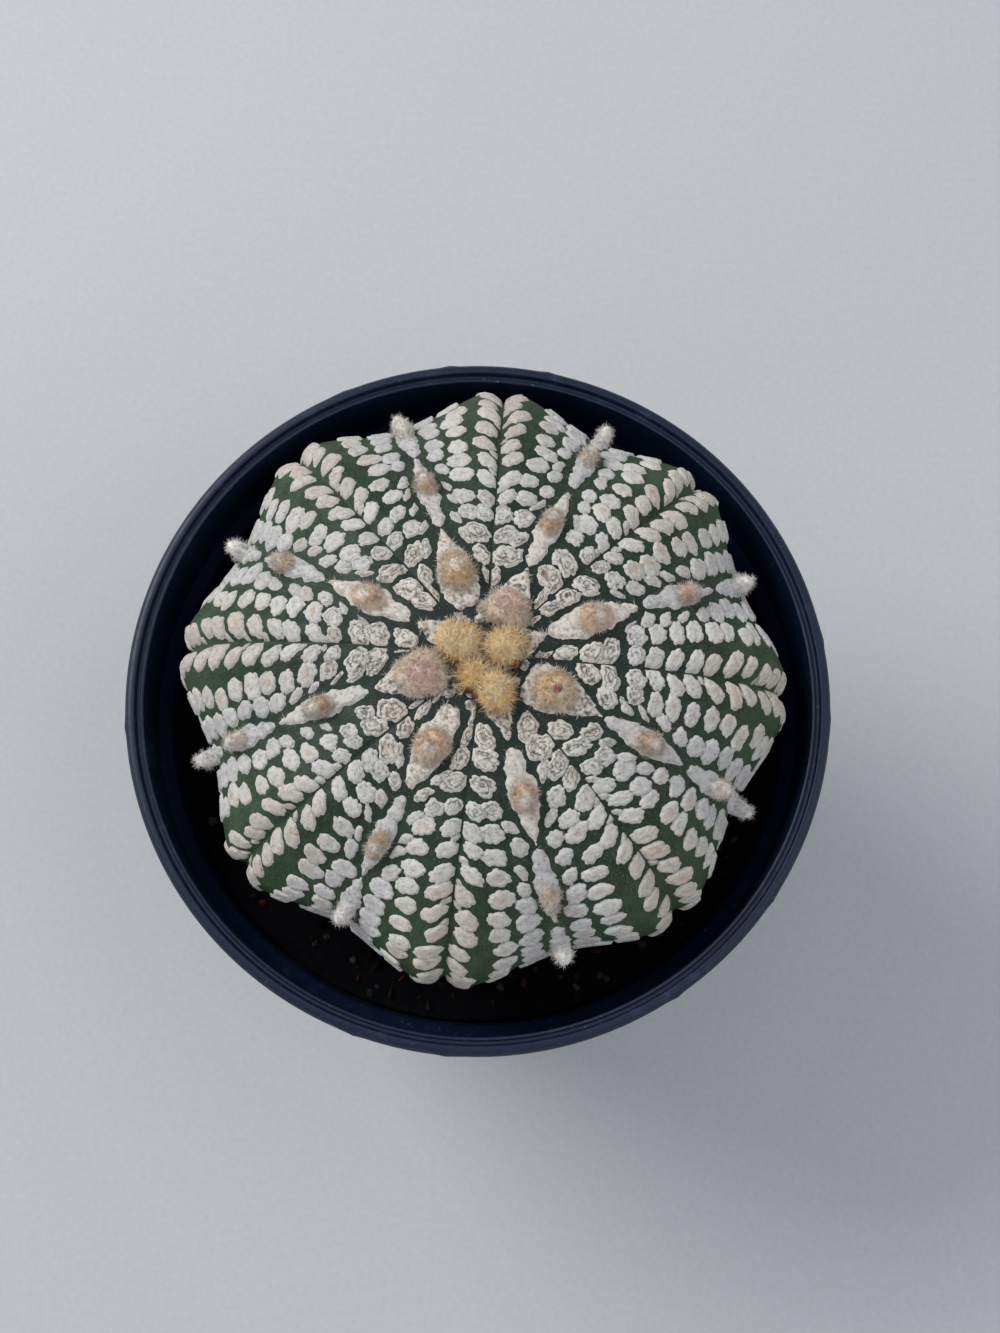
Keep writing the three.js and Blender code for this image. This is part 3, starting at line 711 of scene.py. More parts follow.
def areole(n):
    """Where areole n sits, and the reach of its pointed felt patch towards and away from the apex."""
    s = areole_distance(n)
    gap_in = s - areole_distance(n - RIBS) if n >= RIBS else s
    inner, half = s - TAIL_START, TAIL_HALF_WIDTH
    if n >= FIRST_AREOLE:
        inner = min(LENS_REACH_IN * gap_in, LENS_REACH_IN_YOUNG * (s - NEWEST_DISTANCE))
        half = LENS_HALF_WIDTH + LENS_YOUNG_EXTRA * math.exp(-((max(0, n - 3.5) / 5) ** 2))
    return {
        "n": n, "s": s, "rib": (3 * n) % RIBS, "inner": inner, "half": half,
        "outer": LENS_REACH_OUT * (areole_distance(n + RIBS) - s),
        "young": math.exp(-((max(0, n - 3) / 4) ** 2)),
    }


areoles = [areole(n) for n in (*TAILED_AREOLES, *range(FIRST_AREOLE, LAST_AREOLE + 1))]


def lens_half(mark, along):
    """Half the width of an areole's felt patch, which is fuller towards the apex in young ones."""
    part = (along + mark["inner"]) / (mark["inner"] + mark["outer"])
    grown = np.interp(part, *zip(*LENS_OUTLINE), left=0, right=0)
    young = np.interp(part, *zip(*YOUNG_LENS_OUTLINE), left=0, right=0)
    return mark["half"] * (grown + (young - grown) * mark["young"])


def lens_field(mark, along, sideways):
    """Millimetres inside the outline of an areole's felt patch, less than zero outside it."""
    ends = np.minimum(along + mark["inner"], mark["outer"] - along)
    return np.minimum(0.85 * (lens_half(mark, along) - np.abs(sideways)), 0.5 * ends)


def row_sag(s, u):
    """How far a row of flecks hangs down between the areole line, u = 0, and the groove, u = 1."""
    lowest = SAG_LOWEST[0] + (SAG_LOWEST[1] - SAG_LOWEST[0]) * smooth(*SAG_SHIFT, s)
    away = (u - lowest) / np.where(u < lowest, lowest, 1 - lowest)
    return ROW_SAG * smooth(*SAG_START, s) * (1 - smooth(*SAG_END, s)) * (1 - away ** 2)


def skin_corner(rib, side, row, u):
    even = rib_angle(rib) + side * u * RIB_ANGLE / 2
    key = row * 3600 + round(even % 360 * 10)
    base = FIRST_ROW + ROW_PITCH * (row - 1)
    sideways = COLUMN_JITTER * RIB_ANGLE * (draw(key + 50000) - 0.5) if 0 < u < LAST_COLUMN else 0
    return even + sideways, base + row_sag(base, u) + ROW_JITTER * (2 * draw(key) - 1)


def lens_half_at(rib, s):
    """Half the width of the areole felt that crosses a rib's middle at one distance."""
    return max(float(lens_half(mark, s - mark["s"])) for mark in areoles if mark["rib"] == rib)


def row_ovals(rib, side, row, columns):
    """The ovals of one row on one side of a rib, from the areole line to the groove."""
    line = []
    for low, high in zip(columns[:-2], columns[1:-1]):
        corners = [skin_corner(rib, side, row + down, u) for down in (0, 1) for u in (low, high)]
        s = sum(c[1] for c in corners) / 4
        width = half_width(s)
        reach = abs(math.radians(sum(c[0] for c in corners) / 4 - rib_angle(rib))) * on_meridian(s)[0]
        wide = (high - low) * width / 2
        key = row * 31 + rib * 577 + round(high * 90) + side * 7
        a, b, c = draw(key), draw(key + 4001), draw(key + 8009)
        young = 1 - float(smooth(10, 16, s))
        longest = FLECK_LONG + (YOUNG_LONG - FLECK_LONG) * young
        grown = 1 - 0.05 * float(smooth(16, 22, s))
        long_half = grown * min(wide * (1.06 + 0.16 * b + 0.48 * young), longest * (0.94 + 0.3 * a))
        short_half = grown * ROW_PITCH / 2 * (0.9 + 0.17 * b + 0.26 * young)
        fall = (corners[1][1] + corners[3][1] - corners[0][1] - corners[2][1]) / 2
        tilt = math.atan2(fall, 2 * wide) + 0.3 * (a - 0.5)
        if high == LAST_COLUMN:
            reach = width - 0.92 * long_half
            tilt -= 0.3 * smooth(12, 18, s)
        if low == 0:
            matted = float(smooth(24, 29, s))
            long_half += 0.6 * matted
            short_half += 0.16 * matted
        margin = 0.38 - 0.3 * float(smooth(24, 30, s))
        felt_edge = max(lens_half_at(rib, s + step) for step in (-0.6, 0, 0.6))
        inner = max(reach - long_half, felt_edge + margin if felt_edge else 0.0)
        outer = reach + long_half
        if outer - inner > 0.7:
            line.append([(inner + outer) / 2, s, (outer - inner) / 2, short_half, tilt, a, c])
    return line


def pull(first, second, amount):
    """Moves two neighbouring ovals towards each other, so that they run together."""
    for k in (0, 1):
        step = amount * (second[k] - first[k])
        first[k] += step
        second[k] -= step


def fleck_seeds(rib):
    """The ovals that make one rib's felt: middle across and along, two half sizes and tilt."""
    ovals = []
    for side in (-1, 1):
        rows = []
        for count, columns in FLECK_ZONES:
            rows += [row_ovals(rib, side, len(rows) + 1 + i, columns) for i in range(count)]
        for line, below in zip(rows, rows[1:] + [[]]):
            for first, second in zip(line, line[1:]):
                if first[5] < 0.45 + 0.15 * smooth(24, 29, first[1]):
                    pull(first, second, 0.11)
            for first, second in zip(line, below):
                if first[6] < 0.35 + 0.2 * (1 - smooth(10, 15, first[1])):
                    pull(first, second, 0.1)
        for line in rows:
            for reach, s, long_half, short_half, tilt, *_ in line:
                ovals.append((side * reach, s, long_half, short_half, side * tilt))
            if line and 14 < line[-1][1] < 36 and line[-1][6] > 0.6:
                s = line[-1][1] + 1.0
                ovals.append((side * (half_width(s) - 0.45), s, 0.5 + 0.3 * line[-1][5], 0.42, side * -0.6))
        for reach, s, long_half, short_half in NEW_FLECKS:
            lag = 0.35 * float(draw(round(s * 10) + 17 * rib + side))
            ovals.append((side * reach * half_width(s), s + lag, long_half, short_half,
                          side * (0.9 - 2 * lag)))
    return ovals


def fleck_field(rib, d, s):
    """Millimetres inside the felt of one rib, and each point's place in its own fleck."""
    plane = np.stack([d, s], axis=-1)
    warp_d = d + 0.2 * grain(plane, 0.95, 41 + rib) + 0.08 * grain(plane, 0.4, 51 + rib)
    warp_s = s + 0.2 * grain(plane, 0.95, 61 + rib) + 0.08 * grain(plane, 0.4, 71 + rib)
    total = np.zeros(d.shape)
    best = np.full(d.shape, -9.0)
    whorl = np.zeros((*d.shape, 3))
    for i, (reach, at, long_half, short_half, tilt) in enumerate(fleck_seeds(rib)):
        near = (np.abs(d - reach) < long_half + 1.6) & (np.abs(s - at) < long_half + 1.6)
        dx, ds = warp_d[near] - reach, warp_s[near] - at
        x = (dx * math.cos(tilt) + ds * math.sin(tilt)) / long_half
        y = (ds * math.cos(tilt) - dx * math.sin(tilt)) / short_half
        own = float(draw(i + 1 + 300 * rib))
        lobes = np.abs(np.cos((3.5 + round(3 * own) / 2) * np.arctan2(y, x) + 40 * own))
        notch = SCALLOP * (1 - 0.4 * smooth(22, 30, at)) * (1 - lobes) ** 1.6
        size = (np.abs(x) ** 2.15 + np.abs(y) ** 2.15) ** (1 / 2.15)
        inside = (1 - notch - size) * min(long_half, short_half)
        total[near] += np.exp(inside / FLECK_BLEND)
        better = inside > best[near]
        best[near] = np.maximum(best[near], inside)
        place = np.stack([x, y, np.full(x.shape, own)], axis=-1)
        whorl[near] = np.where(better[:, None], place, whorl[near])
    return FLECK_BLEND * np.log(total + 1e-9), whorl


def felt_field(rib, d, s):
    field, whorl = fleck_field(rib, d, s)
    for mark in areoles:
        if mark["rib"] == rib:
            moat = 0.35 - 0.27 * smooth(24, 30, s)
            field = np.minimum(field, -lens_field(mark, s - mark["s"], d) - moat)
    width = half_width(s)
    plane = np.stack([d, s], axis=-1)
    crack = 0.06 + 0.05 * grain(plane, 1.1, 81 + rib)
    field = np.minimum(field, width - np.abs(d) - crack)
    field = np.minimum(field, s - FELT_START)
    return field, whorl


def clipped_grid(field, rows, columns):
    """The triangles of a grid's part above zero, their first corners, and a blend for grid values."""
    index = np.arange(rows * columns).reshape(rows, columns)
    a, b = index[:-1, :-1].ravel(), index[:-1, 1:].ravel()
    c, e = index[1:, 1:].ravel(), index[1:, :-1].ravel()
    triangles = np.concatenate([np.stack([a, b, c], 1), np.stack([a, c, e], 1)])
    inside = field[triangles] > 0
    count = inside.sum(axis=1)
    size = rows * columns

    def odd_first(chosen, flags):
        order = (flags.argmax(axis=1)[:, None] + np.arange(3)) % 3
        return np.take_along_axis(chosen, order, axis=1).T

    def cut(p, q):
        return (np.minimum(p, q) + 1) * size + np.maximum(p, q)

    a, b, c = odd_first(triangles[count == 1], inside[count == 1])
    d, e, f = odd_first(triangles[count == 2], ~inside[count == 2])
    corners = ((a, cut(a, b), cut(a, c)), (cut(d, e), e, f), (cut(d, e), f, cut(d, f)))
    faces = np.concatenate([triangles[count == 3], *(np.stack(each, 1) for each in corners)])
    used, faces = np.unique(faces, return_inverse=True)
    faces = faces.reshape(-1, 3)
    is_grid = used < size
    edge = used - size
    first = np.where(is_grid, used, edge // size)
    second = np.where(is_grid, used, edge % size)
    f1, f2 = field[first], field[second]
    share = np.where(is_grid, 0, f1 / np.where(is_grid, 1, f1 - f2))
    return faces, first, lambda values: values[first] * (1 - share) + values[second] * share


FELT_CROWN = srgb(232, 222, 210)
FELT_SHOULDER = srgb(220, 217, 212)
FELT_GROOVE = srgb(211, 202, 191)
FELT_VALLEY = srgb(204, 202, 200)
FELT_STAIN = srgb(205, 178, 146)
FELT_PIT = srgb(58, 66, 56)
felt_sheets = []
for rib in range(RIBS):
    s_line = np.concatenate([np.arange(FELT_START - 0.1, YOUNG_FELT_END, YOUNG_FELT_STEP),
                             np.arange(YOUNG_FELT_END, EQUATOR_S + 8, FELT_STEP)])
    d_line = np.arange(-WIDEST_FELT, WIDEST_FELT + FELT_STEP, FELT_STEP)
    s_grid, d_grid = (g.ravel() for g in np.meshgrid(s_line, d_line, indexing="ij"))
    field, whorl = felt_field(rib, d_grid, s_grid)
    faces, first, on_sheet = clipped_grid(field, len(s_line), len(d_line))
    d, s, inside = on_sheet(d_grid), on_sheet(s_grid), on_sheet(field)
    whorl = whorl[first]
    own = whorl[:, 2]
    plane = np.stack([d, s], axis=-1)
    u = np.abs(d) / half_width(s)
    matted = 0.5 * grain(plane, 0.5, 91) + 0.5 * grain(plane, 0.24, 92)
    young = 1 - smooth(13, 21, s)
    edge_rise = smooth(-0.02, 0.3, inside)
    lift = -0.05 + (FELT_THICKNESS + 0.08 * own) * edge_rise + 0.05 * matted * edge_rise
    worn = 0.6 * grain(plane, 0.8, 93) + 0.4 * grain(plane, 0.4, 94)
    ring = np.exp(-(((inside - 0.42 - 0.1 * worn) / 0.1) ** 2)) * smooth(-0.15, 0.2, worn)
    core = np.exp(-(((inside - 0.82) / 0.12) ** 2)) * smooth(0.0, 0.3, -worn)
    specks = smooth(0.5, 0.75, grain(plane, 0.24, 95)) * smooth(0.15, 0.3, inside)
    flecked = smooth(0.05, 0.45, grain(plane, 0.3, 96)) * (1 - smooth(4.5, 8, s))
    pit = np.clip((ring + core) * young + 0.7 * specks * (0.35 + 0.65 * young) + flecked, 0, 1)
    lift = lift - 0.16 * pit * edge_rise
    angle = rib_angle(rib) + np.degrees(d / on_meridian(s)[0])
    colour = toward(FELT_CROWN, FELT_SHOULDER, smooth(9, 18, s))
    colour = toward(colour, FELT_GROOVE, smooth(20, 28, s) * smooth(0.35, 0.75, u))
    colour = toward(colour, FELT_VALLEY, smooth(18, 28, s) * (1 - smooth(0.15, 0.5, u)))
    stained = smooth(0.72, 0.95, (own * 7) % 1) * smooth(0.9, 0.2, np.hypot(whorl[:, 0], whorl[:, 1]))
    colour = toward(colour, FELT_STAIN, 0.42 * stained)
    colour = colour * (0.9 + 0.14 * own + 0.09 * matted)[:, None]
    colour = toward(colour, FELT_PIT, 0.8 * pit)
    sheet = mesh_object(f"felt_rib_{rib + 1}", stem_point(angle, s, lift), faces[:, ::-1], {
        "tint": colour, "young": young, "ringed": 0.15 + 0.85 * young, "whorl": whorl})
    felt_sheets.append(sheet)

felt = Finish("white_felt")
tint = felt.attribute("tint", "Color")
youth = felt.attribute("young")
whorl = felt.attribute("whorl", "Vector")
flat_whorl = felt.vector("MULTIPLY", whorl, (1, 1, 0))
own_place = felt.vector("MULTIPLY", whorl, (0, 0, 37))
from_middle = felt.vector("LENGTH", flat_whorl)
aim = felt.vector("MULTIPLY_ADD", felt.vector("NORMALIZE", flat_whorl), (1.0, 1.0, 1.0), own_place)
ringed = felt.attribute("ringed")
radial = felt.math("MULTIPLY", felt.noise(5.0, 3, 0.6, place=aim, depth=from_middle),
                   felt.ramp(ringed, (0.0, 0.2), (0.12, 1.0)))
nap = felt.noise(1500, 4, 0.65)
curved = felt.math("MULTIPLY_ADD", felt.noise(1300, 3), 0.6, felt.math("MULTIPLY", from_middle, 0.6))
arcs = felt.ramp(curved, (0.38, 0.0), (0.42, 1.0), (0.47, 0.0), (0.6, 0.0), (0.65, 1.0), (0.71, 0.0))
broken = felt.ramp(felt.noise(760, 3), (0.44, 0.0), (0.52, 1.0))
dark_arcs = felt.math("MULTIPLY", felt.math("MULTIPLY", arcs, broken), ringed)
pore = felt.ramp(felt.noise(2600, 3, 0.6), (0.58, 0.0), (0.68, 1.0))
pores = felt.math("MULTIPLY", pore, felt.math("MULTIPLY_ADD", youth, 0.4, 0.34))
# Painted shade: the felt is greyed along the low parts of its radial creases.
crease_shade_mask = felt.math("MULTIPLY", felt.ramp(radial, (0.3, 0.6), (0.47, 0.0)),
                    felt.ramp(ringed, (0.0, 0.0), (0.12, 1.0)))
crease_shaded_felt = felt.mix(crease_shade_mask, tint, srgb(138, 136, 126))
soft = felt.mix(felt.ramp(nap, (0.35, 0.0), (0.65, 0.55)), crease_shaded_felt, srgb(240, 236, 230), "SOFT_LIGHT")
arced = felt.mix(felt.math("MULTIPLY", dark_arcs, 0.8), soft, srgb(62, 68, 60))
felt.set(base_color=felt.mix(pores, arced, srgb(84, 86, 76)), roughness=0.92, sheen_weight=0.2,
         sheen_roughness=0.5, specular_ior_level=0.12)
felt.bump((radial, 0.14, 0.8), (dark_arcs, -0.12, 0.8), (nap, 0.1, 0.7), (pore, -0.05, 0.6))
for sheet in felt_sheets:
    felt.put_on(sheet)
    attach(sheet, "root")

# Areoles
# Each rib's row of areoles, the cushions that flowers grow from: a pointed patch of white felt with a
# raised pad of wool in its middle. New ones are broad and golden, older ones tan, and the oldest, near
# the equator, stand out of their valley as small white cones.
LENS_STEP = 0.145
LENS_THICKNESS = 0.42
PAD_OFFSET = 0.5
PAD_HEIGHT = 1.4
CONE_HEIGHT = 2.0
CONE_LEAN = 0.4
NEWEST_PADS = (3, 4)
PITTED_PAD = 5
WOOL_GOLD = srgb(238, 192, 112)
WOOL_PINK = srgb(214, 174, 162)
WOOL_CREAM = srgb(240, 220, 194)
WOOL_TAN = srgb(200, 166, 132)
WOOL_PALE = srgb(244, 240, 235)
PIT_BROWN = srgb(138, 84, 66)
# Name, first areole, one past the last, locks per square metre, smallest and largest lock, droop.
WOOL_STAGES = (
    ("young", 0, 8, 1.4e7, 0.5, 1.0, 2.2),
    ("grown", 8, 20, 1.1e7, 0.45, 0.8, 1.9),
    ("old", 20, 31, 1.0e7, 0.4, 0.75, 1.2),
)
lens_sheets = []
for mark in areoles:
    n = mark["n"]
    along_line = np.arange(-mark["inner"] - 0.3, mark["outer"] + 0.3, LENS_STEP)
    side_line = np.arange(-mark["half"] - 0.6, mark["half"] + 0.6, LENS_STEP)
    x_grid, y_grid = (g.ravel() for g in np.meshgrid(along_line, side_line, indexing="ij"))
    plane = np.stack([x_grid + 40 * n, y_grid], axis=-1)
    ragged = 0.17 * grain(plane, 0.85, 101) + 0.1 * grain(plane, 0.4, 102)
    field = lens_field(mark, x_grid, y_grid * (1 + 0.12 * grain(plane, 2.5, 103))) + ragged
    faces, _, on_sheet = clipped_grid(field, len(along_line), len(side_line))
    x, y, inside = on_sheet(x_grid), on_sheet(y_grid), on_sheet(field)
    plane = np.stack([x + 40 * n, y], axis=-1)
    old = float(smooth(18, 25, n))
    young = mark["young"]
    newest = 1.0 if n in NEWEST_PADS else 0.0
    long_half = min(0.8 * mark["inner"] + PAD_OFFSET, (1.1 + 0.5 * mark["half"]) * (1 - old) + 1.3 * old)
    long_half += 0.35 * newest
    wide_half = (0.82 + 0.2 * newest + 0.02 * old) * mark["half"]
    height = PAD_HEIGHT * (1 + 0.2 * young) * (1 - old) + CONE_HEIGHT * old
    if n < FIRST_AREOLE:
        long_half, height = 1.0, 0.0
    q = np.hypot((x - PAD_OFFSET) / long_half, y / wide_half) * (1 + 0.1 * grain(plane, 0.9, 104))
    dome = (1 - np.minimum(q, 1) ** 2) ** (0.8 - 0.3 * old)
    matted = 0.5 * grain(plane, 0.5, 105) + 0.5 * grain(plane, 0.22, 106)
    edge_rise = smooth(-0.02, 0.45, inside)
    lift = -0.06 + LENS_THICKNESS * edge_rise + 0.2 * smooth(0.3, 1.8, inside)
    lift = lift + height * dome + (0.03 + 0.09 * dome) * matted * edge_rise
    s = mark["s"] + x + CONE_LEAN * old * dome
    angle = rib_angle(mark["rib"]) + np.degrees(y / on_meridian(mark["s"] + x)[0])
    golden = math.exp(-(((n - 4.5) / 2.0) ** 2))
    pad_colour = WOOL_TAN * (0.78 + 0.5 * math.exp(-(((n - 7.5) / 2) ** 2)))
    pad_colour = toward(pad_colour, WOOL_PINK, 0.4 * math.exp(-(((n - 7.5) / 1.5) ** 2)))
    pad_colour = toward(pad_colour, 0.55 * WOOL_GOLD + 0.3 * WOOL_CREAM, golden)
    pad_colour = toward(pad_colour, WOOL_CREAM, newest)
    pad_colour = toward(pad_colour, WOOL_PALE, smooth(16, 25, n))
    on_pad = smooth(0.0, 0.6, 1.2 - q) if n >= FIRST_AREOLE else 0.5 * smooth(3.0, 0.0, x)
    # Painted highlight: a pale spot near the top of each pad's dome, except on the newest pads.
    tip = 0.75 * np.exp(-((np.hypot(x - PAD_OFFSET - 0.5, y) / 0.8) ** 2)) * (1 - newest)
    ground = toward(FELT_VALLEY, FELT_CROWN, 1 - smooth(8, 16, n))
    colour = toward(ground, pad_colour, on_pad)
    colour = toward(colour, WOOL_PALE, tip * smooth(0, 0.5, dome))
    blush = 0.85 * newest * smooth(1.0, 0.3, q + 0.25 * grain(plane, 0.6, 108))
    colour = toward(colour, WOOL_PINK, blush)
    pit = (n == PITTED_PAD) * smooth(0.75, 0.35, np.hypot(x - PAD_OFFSET - 0.2, y))
    colour = toward(colour, PIT_BROWN, pit)
    speckled = smooth(0.15, 0.5, grain(plane, 0.27, 107)) * (1 - on_pad) * (0.2 + 0.7 * young)
    colour = colour * (0.94 + (0.1 + 0.2 * on_pad) * matted)[:, None]
    colour = toward(colour, FELT_PIT, speckled)
    fringe = 0.16 if n >= FIRST_AREOLE else 0.5
    woolly = smooth(0.0, 0.5, on_pad) * (1 - pit) + fringe * smooth(0.1, 0.4, inside)
    place = np.stack([(x - PAD_OFFSET) / 2.2, y / 2.2, np.full(x.shape, float(draw(n + 70)))], axis=-1)
    sheet = mesh_object(f"areole_{n:02d}", stem_point(angle, s, lift), faces[:, ::-1], {
        "tint": colour, "young": np.full(x.shape, 0.25 + 0.6 * young), "wool": np.clip(woolly, 0, 1),
        "whorl": place})
    lens_sheets.append((mark, sheet))


def joined(name, objects):
    """The objects as one mesh object."""
    bpy.ops.object.select_all(action="DESELECT")
    for obj in objects:
        obj.select_set(True)
    bpy.context.view_layer.objects.active = objects[0]
    bpy.ops.object.join()
    objects[0].name = name
    objects[0].data.name = name
    return objects[0]


def tuft(name, hairs, length, width, seed):
    """A small lock of bent three-sided hairs that starts at the origin and grows up +Z."""
    points, faces = [], []
    for h in range(hairs):
        turn = 2 * math.pi * (h + draw(seed + h)) / hairs
        spread = 0.25 + 0.35 * draw(seed + 20 + h)
        bend = 0.5 * (draw(seed + 40 + h) - 0.2)
        reach = length * (0.7 + 0.3 * draw(seed + 60 + h))
        start = len(points)
        for t in (0, 0.5, 1):
            lean = spread * t + bend * t * t
            centre = np.array([math.cos(turn) * lean, math.sin(turn) * lean, t]) * reach
            thick = width * (1 - 0.6 * t)
            corners = [turn + 2 * math.pi * k / 3 for k in range(3 if t < 1 else 0)]
            ring = [centre + thick * np.array([math.cos(c), math.sin(c), 0]) for c in corners]
            points += ring or [centre]
        for a, b in ((start, start + 1), (start + 1, start + 2), (start + 2, start)):
            faces += [(a, b, b + 3), (a, b + 3, a + 3), (a + 3, b + 3, start + 6)]
    return mesh_object(name, points, faces)


coat = Planting("woolly coat", Droop=1.0)
wool_here = coat.add("GeometryNodeInputNamedAttribute", {"Name": "wool"}, data_type="FLOAT")
dense = coat.out("ShaderNodeMath", {0: wool_here.outputs["Attribute"], 1: coat.given["Density"]},
                 operation="MULTIPLY")
rooted = coat.strewn(dense)
swayed = coat.out("ShaderNodeVectorMath", {0: coat.random((-1, -1, -1), (1, 1, 1)), 3: coat.given["Droop"]},
                  operation="SCALE")
heading = coat.out("ShaderNodeVectorMath", {0: rooted.outputs["Normal"], 1: swayed}, operation="ADD")
pointed = coat.out("FunctionNodeAlignRotationToVector", {"Vector": heading}, axis="Z")
spin = coat.out("FunctionNodeAxisAngleToRotation", {"Axis": (0, 0, 1), "Angle": coat.random(0.0, 6.28)})
spun = coat.out("FunctionNodeRotateRotation", {"Rotation": pointed, "Rotate By": spin},
                rotation_space="LOCAL")
coat.plant(rooted.outputs["Points"], spun, coat.random_size())

wool_fibre = Finish("wool_fibre")
strand_tint = wool_fibre.attribute("tint", "Color")
lock_draw_here = wool_fibre.attribute("own_draw")
# Lit and shaded copies of the wool: a random share of locks is darkened as painted shade, and another is
# whitened, partly as white hairs and partly as painted highlight.
dark_lock = wool_fibre.ramp(lock_draw_here, (0.0, 0.4), (0.35, 0.0))
pale_lock = wool_fibre.ramp(lock_draw_here, (0.45, 0.0), (1.0, 0.72))
locks_in_painted_shade = wool_fibre.mix(dark_lock, strand_tint, srgb(134, 98, 66))
white_hairs_and_painted_highlight = wool_fibre.mix(pale_lock, locks_in_painted_shade, srgb(255, 243, 220))
wool_fibre.set(base_color=white_hairs_and_painted_highlight, roughness=0.75, sheen_weight=0.3, sheen_roughness=0.4,
               specular_ior_level=0.25)


def grow_wool(name, skins, lock, density, smallest, largest, droop, seed):
    """Locks of wool on the skins, as many as their wool attribute asks for."""
    twins = [bpy.data.objects.new(obj.name + "_twin", obj.data.copy()) for obj in skins]
    for twin in twins:
        bpy.context.collection.objects.link(twin)
    wool = coat.grown_on(joined(name + "_bed", twins), name, lock, wool_fibre, density, smallest, largest,
                         seed, Droop=droop)
    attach(wool, "root")


lock = tuft("lock", 5, 1.0, 0.033, 7)
for seed, (stage, low, high, density, smallest, largest, droop) in enumerate(WOOL_STAGES, 3):
    skins = [sheet for mark, sheet in lens_sheets if low <= mark["n"] < high]
    grow_wool("areole_wool_" + stage, skins, lock, density, smallest, largest, droop, seed)
patches = joined("areole_felt", [sheet for mark, sheet in lens_sheets])
felt.put_on(patches)
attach(patches, "root")

# Crown wool
# The youngest areoles crowd round the growing point, and their golden wool is matted into one soft
# cushion over the apex. Brown painted shade lies between its mounds, and a painted highlight lies on their
# tops. It grows from the skin under it.
CROWN_AREOLES = (-1, 0, 1, 2)
MOUND_RADIUS = 2.15
MOUND_HEIGHT = 1.786
MOUND_SIZES = (0.8, 1.0, 1.08, 1.0)
CROWN_SPOKES = 160
CROWN_ROWS = 46
CROWN_HAIR_DENSITY = 2.4e7
mounds = []
for n in CROWN_AREOLES:
    mound_turn = np.radians(leaned(rib_angle((3 * n) % RIBS)))
    distance = max(NEWEST_DISTANCE, areole_distance(n))
    mounds.append((distance * math.cos(mound_turn), distance * math.sin(mound_turn)))
spoke = np.arange(CROWN_SPOKES) * 360 / CROWN_SPOKES
spoke_turn = np.radians(leaned(spoke))
reach = np.zeros(CROWN_SPOKES)
for x, y in mounds:
    along = x * np.cos(spoke_turn) + y * np.sin(spoke_turn)
    beside = x * np.sin(spoke_turn) - y * np.cos(spoke_turn)
    reach = np.maximum(reach, along + 1.15 * np.sqrt(np.maximum(0, MOUND_RADIUS ** 2 - beside ** 2)))
share_line = np.linspace(0.02, 1, CROWN_ROWS)
crown_s = share_line[:, None] * reach[None, :]
crown_a = np.repeat(spoke[None, :], CROWN_ROWS, axis=0)
px = crown_s * np.cos(spoke_turn)
py = crown_s * np.sin(spoke_turn)
rises = []
for size, (x, y) in zip(MOUND_SIZES, mounds):
    out_x, out_y = x / math.hypot(x, y), y / math.hypot(x, y)
    outward = (px - x) * out_x + (py - y) * out_y
    sideways = (px - x) * out_y - (py - y) * out_x
    apart = np.hypot(outward * np.where(outward > 0, 0.82, 1.0), sideways * 1.08) / (size * MOUND_RADIUS)
    rises.append(size * np.sqrt(np.maximum(0, 1 - np.minimum(1, apart) ** 2)))
rises = np.stack(rises)
rise = 0.12 * np.log(np.exp(rises / 0.12).sum(axis=0))
crown_plane = np.stack([px, py], axis=-1)
curl = 0.5 * grain(crown_plane, 0.7, 121) + 0.5 * grain(crown_plane, 0.3, 122)
rim_drop = smooth(0.0, 0.08, 1 - share_line)[:, None]
crown_lift = -0.05 + rim_drop * (0.35 + MOUND_HEIGHT * rise + 0.1 * curl)
top = np.clip(rise, 0, 1)
# Painted light: the cushion is brown in the low gaps between mounds as painted shade, and pale on the mound
# tops as painted highlight.
mound_top_painted_highlight = srgb(255, 234, 184)
mound_gap_painted_shade = srgb(112, 70, 34)
crown_colour = toward(mound_gap_painted_shade, 1.18 * WOOL_GOLD, smooth(0.2, 0.7, top))
crown_colour = toward(crown_colour, mound_top_painted_highlight, 0.85 * smooth(0.5, 0.95, top + 0.2 * curl))
crown_colour = crown_colour * (1 + 0.34 * curl)[..., None]
nearest = np.argmax(rises, axis=0)
mound_x, mound_y = np.array(mounds)[nearest, 0], np.array(mounds)[nearest, 1]
crown_whorl = np.stack([(px - mound_x) / MOUND_RADIUS, (py - mound_y) / MOUND_RADIUS, nearest * 0.3], axis=-1)
crown_wool_share = np.clip((0.16 + 0.84 * smooth(0.25, 0.6, top)) * (1 + 0.9 * curl), 0, 1)
cushion = mesh_object("crown_cushion", stem_point(crown_a, crown_s, crown_lift),
                      ring_quads(CROWN_ROWS, CROWN_SPOKES), {
                          "tint": crown_colour, "young": np.zeros(crown_s.size), "wool": crown_wool_share,
                          "whorl": crown_whorl})
close_holes(cushion)
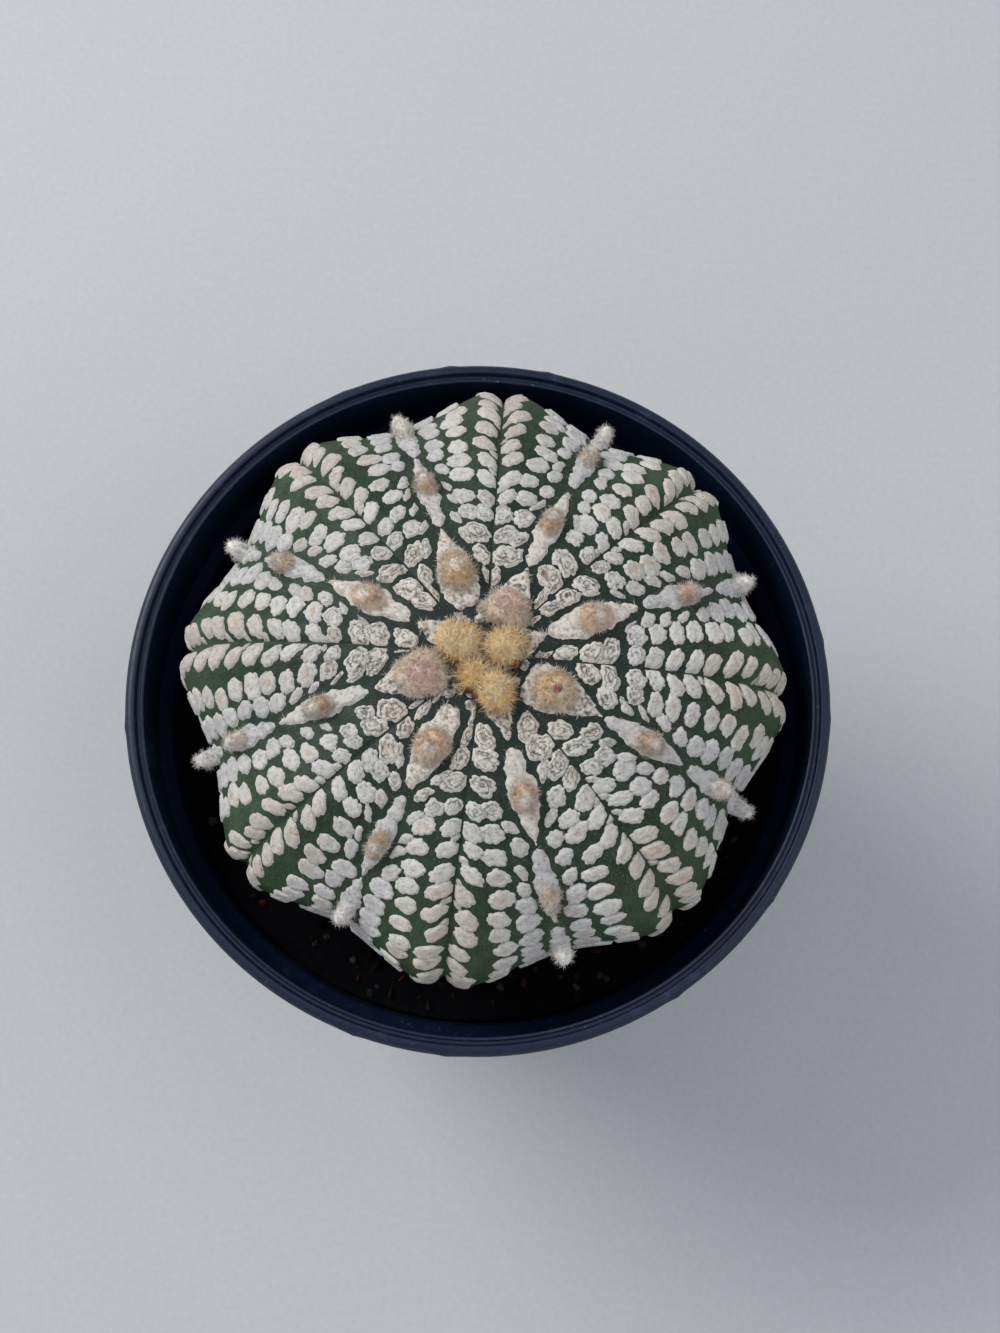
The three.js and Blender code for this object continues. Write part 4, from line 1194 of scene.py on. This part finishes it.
grow_wool("crown_wool_hair", [cushion], lock, CROWN_HAIR_DENSITY, 0.6, 1.35, 2.4, 6)
bpy.data.objects.remove(lock, do_unlink=True)
felt.put_on(cushion)
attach(cushion, "root")
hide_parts("crown_wool")

# Setting
# A plain pale floor, soft studio light from above and the camera where the photograph was taken.
FLOOR_SIZE = 1.6
LIGHT_AIM = (0, 0, 0.07)
CAMERA_PLACE = (-0.000405, -0.046649, 0.291795)
CAMERA_TILT = (12.7464, -0.7302)
FOCAL_PIXELS = 2002
IMAGE_HEIGHT = 1333
bpy.ops.mesh.primitive_plane_add(size=FLOOR_SIZE, location=(0, 0, 0))
floor = bpy.context.object
floor.name = "floor"
paper = Finish("pale_paper")
tooth = paper.noise(1200, 4)
paper.set(base_color=paper.ramp(tooth, (0.3, srgb(205, 206, 208)), (0.7, srgb(213, 213, 214))), roughness=0.9)
paper.put_on(floor)


def softbox(name, place, size, power):
    light = bpy.data.lights.new(name, "AREA")
    light.shape = "DISK"
    light.size = size
    light.energy = power
    lamp = bpy.data.objects.new(name, light)
    bpy.context.collection.objects.link(lamp)
    lamp.location = place
    lamp.rotation_euler = (Vector(LIGHT_AIM) - Vector(place)).to_track_quat("-Z", "Y").to_euler()


softbox("key_light", (-0.42, 0.26, 0.52), 0.4, 2.6)
softbox("fill_light", (0.4, -0.1, 0.6), 0.7, 0.7)
world = bpy.data.worlds.new("studio")
bpy.context.scene.world = world
world.use_nodes = True
background = world.node_tree.nodes["Background"]
background.inputs["Color"].default_value = (0.86, 0.91, 1.0, 1)
background.inputs["Strength"].default_value = 0.45
bpy.context.scene.view_settings.view_transform = "Standard"

camera = bpy.data.objects.new("camera", bpy.data.cameras.new("camera"))
bpy.context.collection.objects.link(camera)
camera.data.sensor_width = 36
camera.data.lens = FOCAL_PIXELS / IMAGE_HEIGHT * 36
camera.data.clip_start = 0.01
camera.location = CAMERA_PLACE
camera.rotation_euler = (math.radians(CAMERA_TILT[0]), math.radians(CAMERA_TILT[1]), 0)
bpy.context.scene.camera = camera
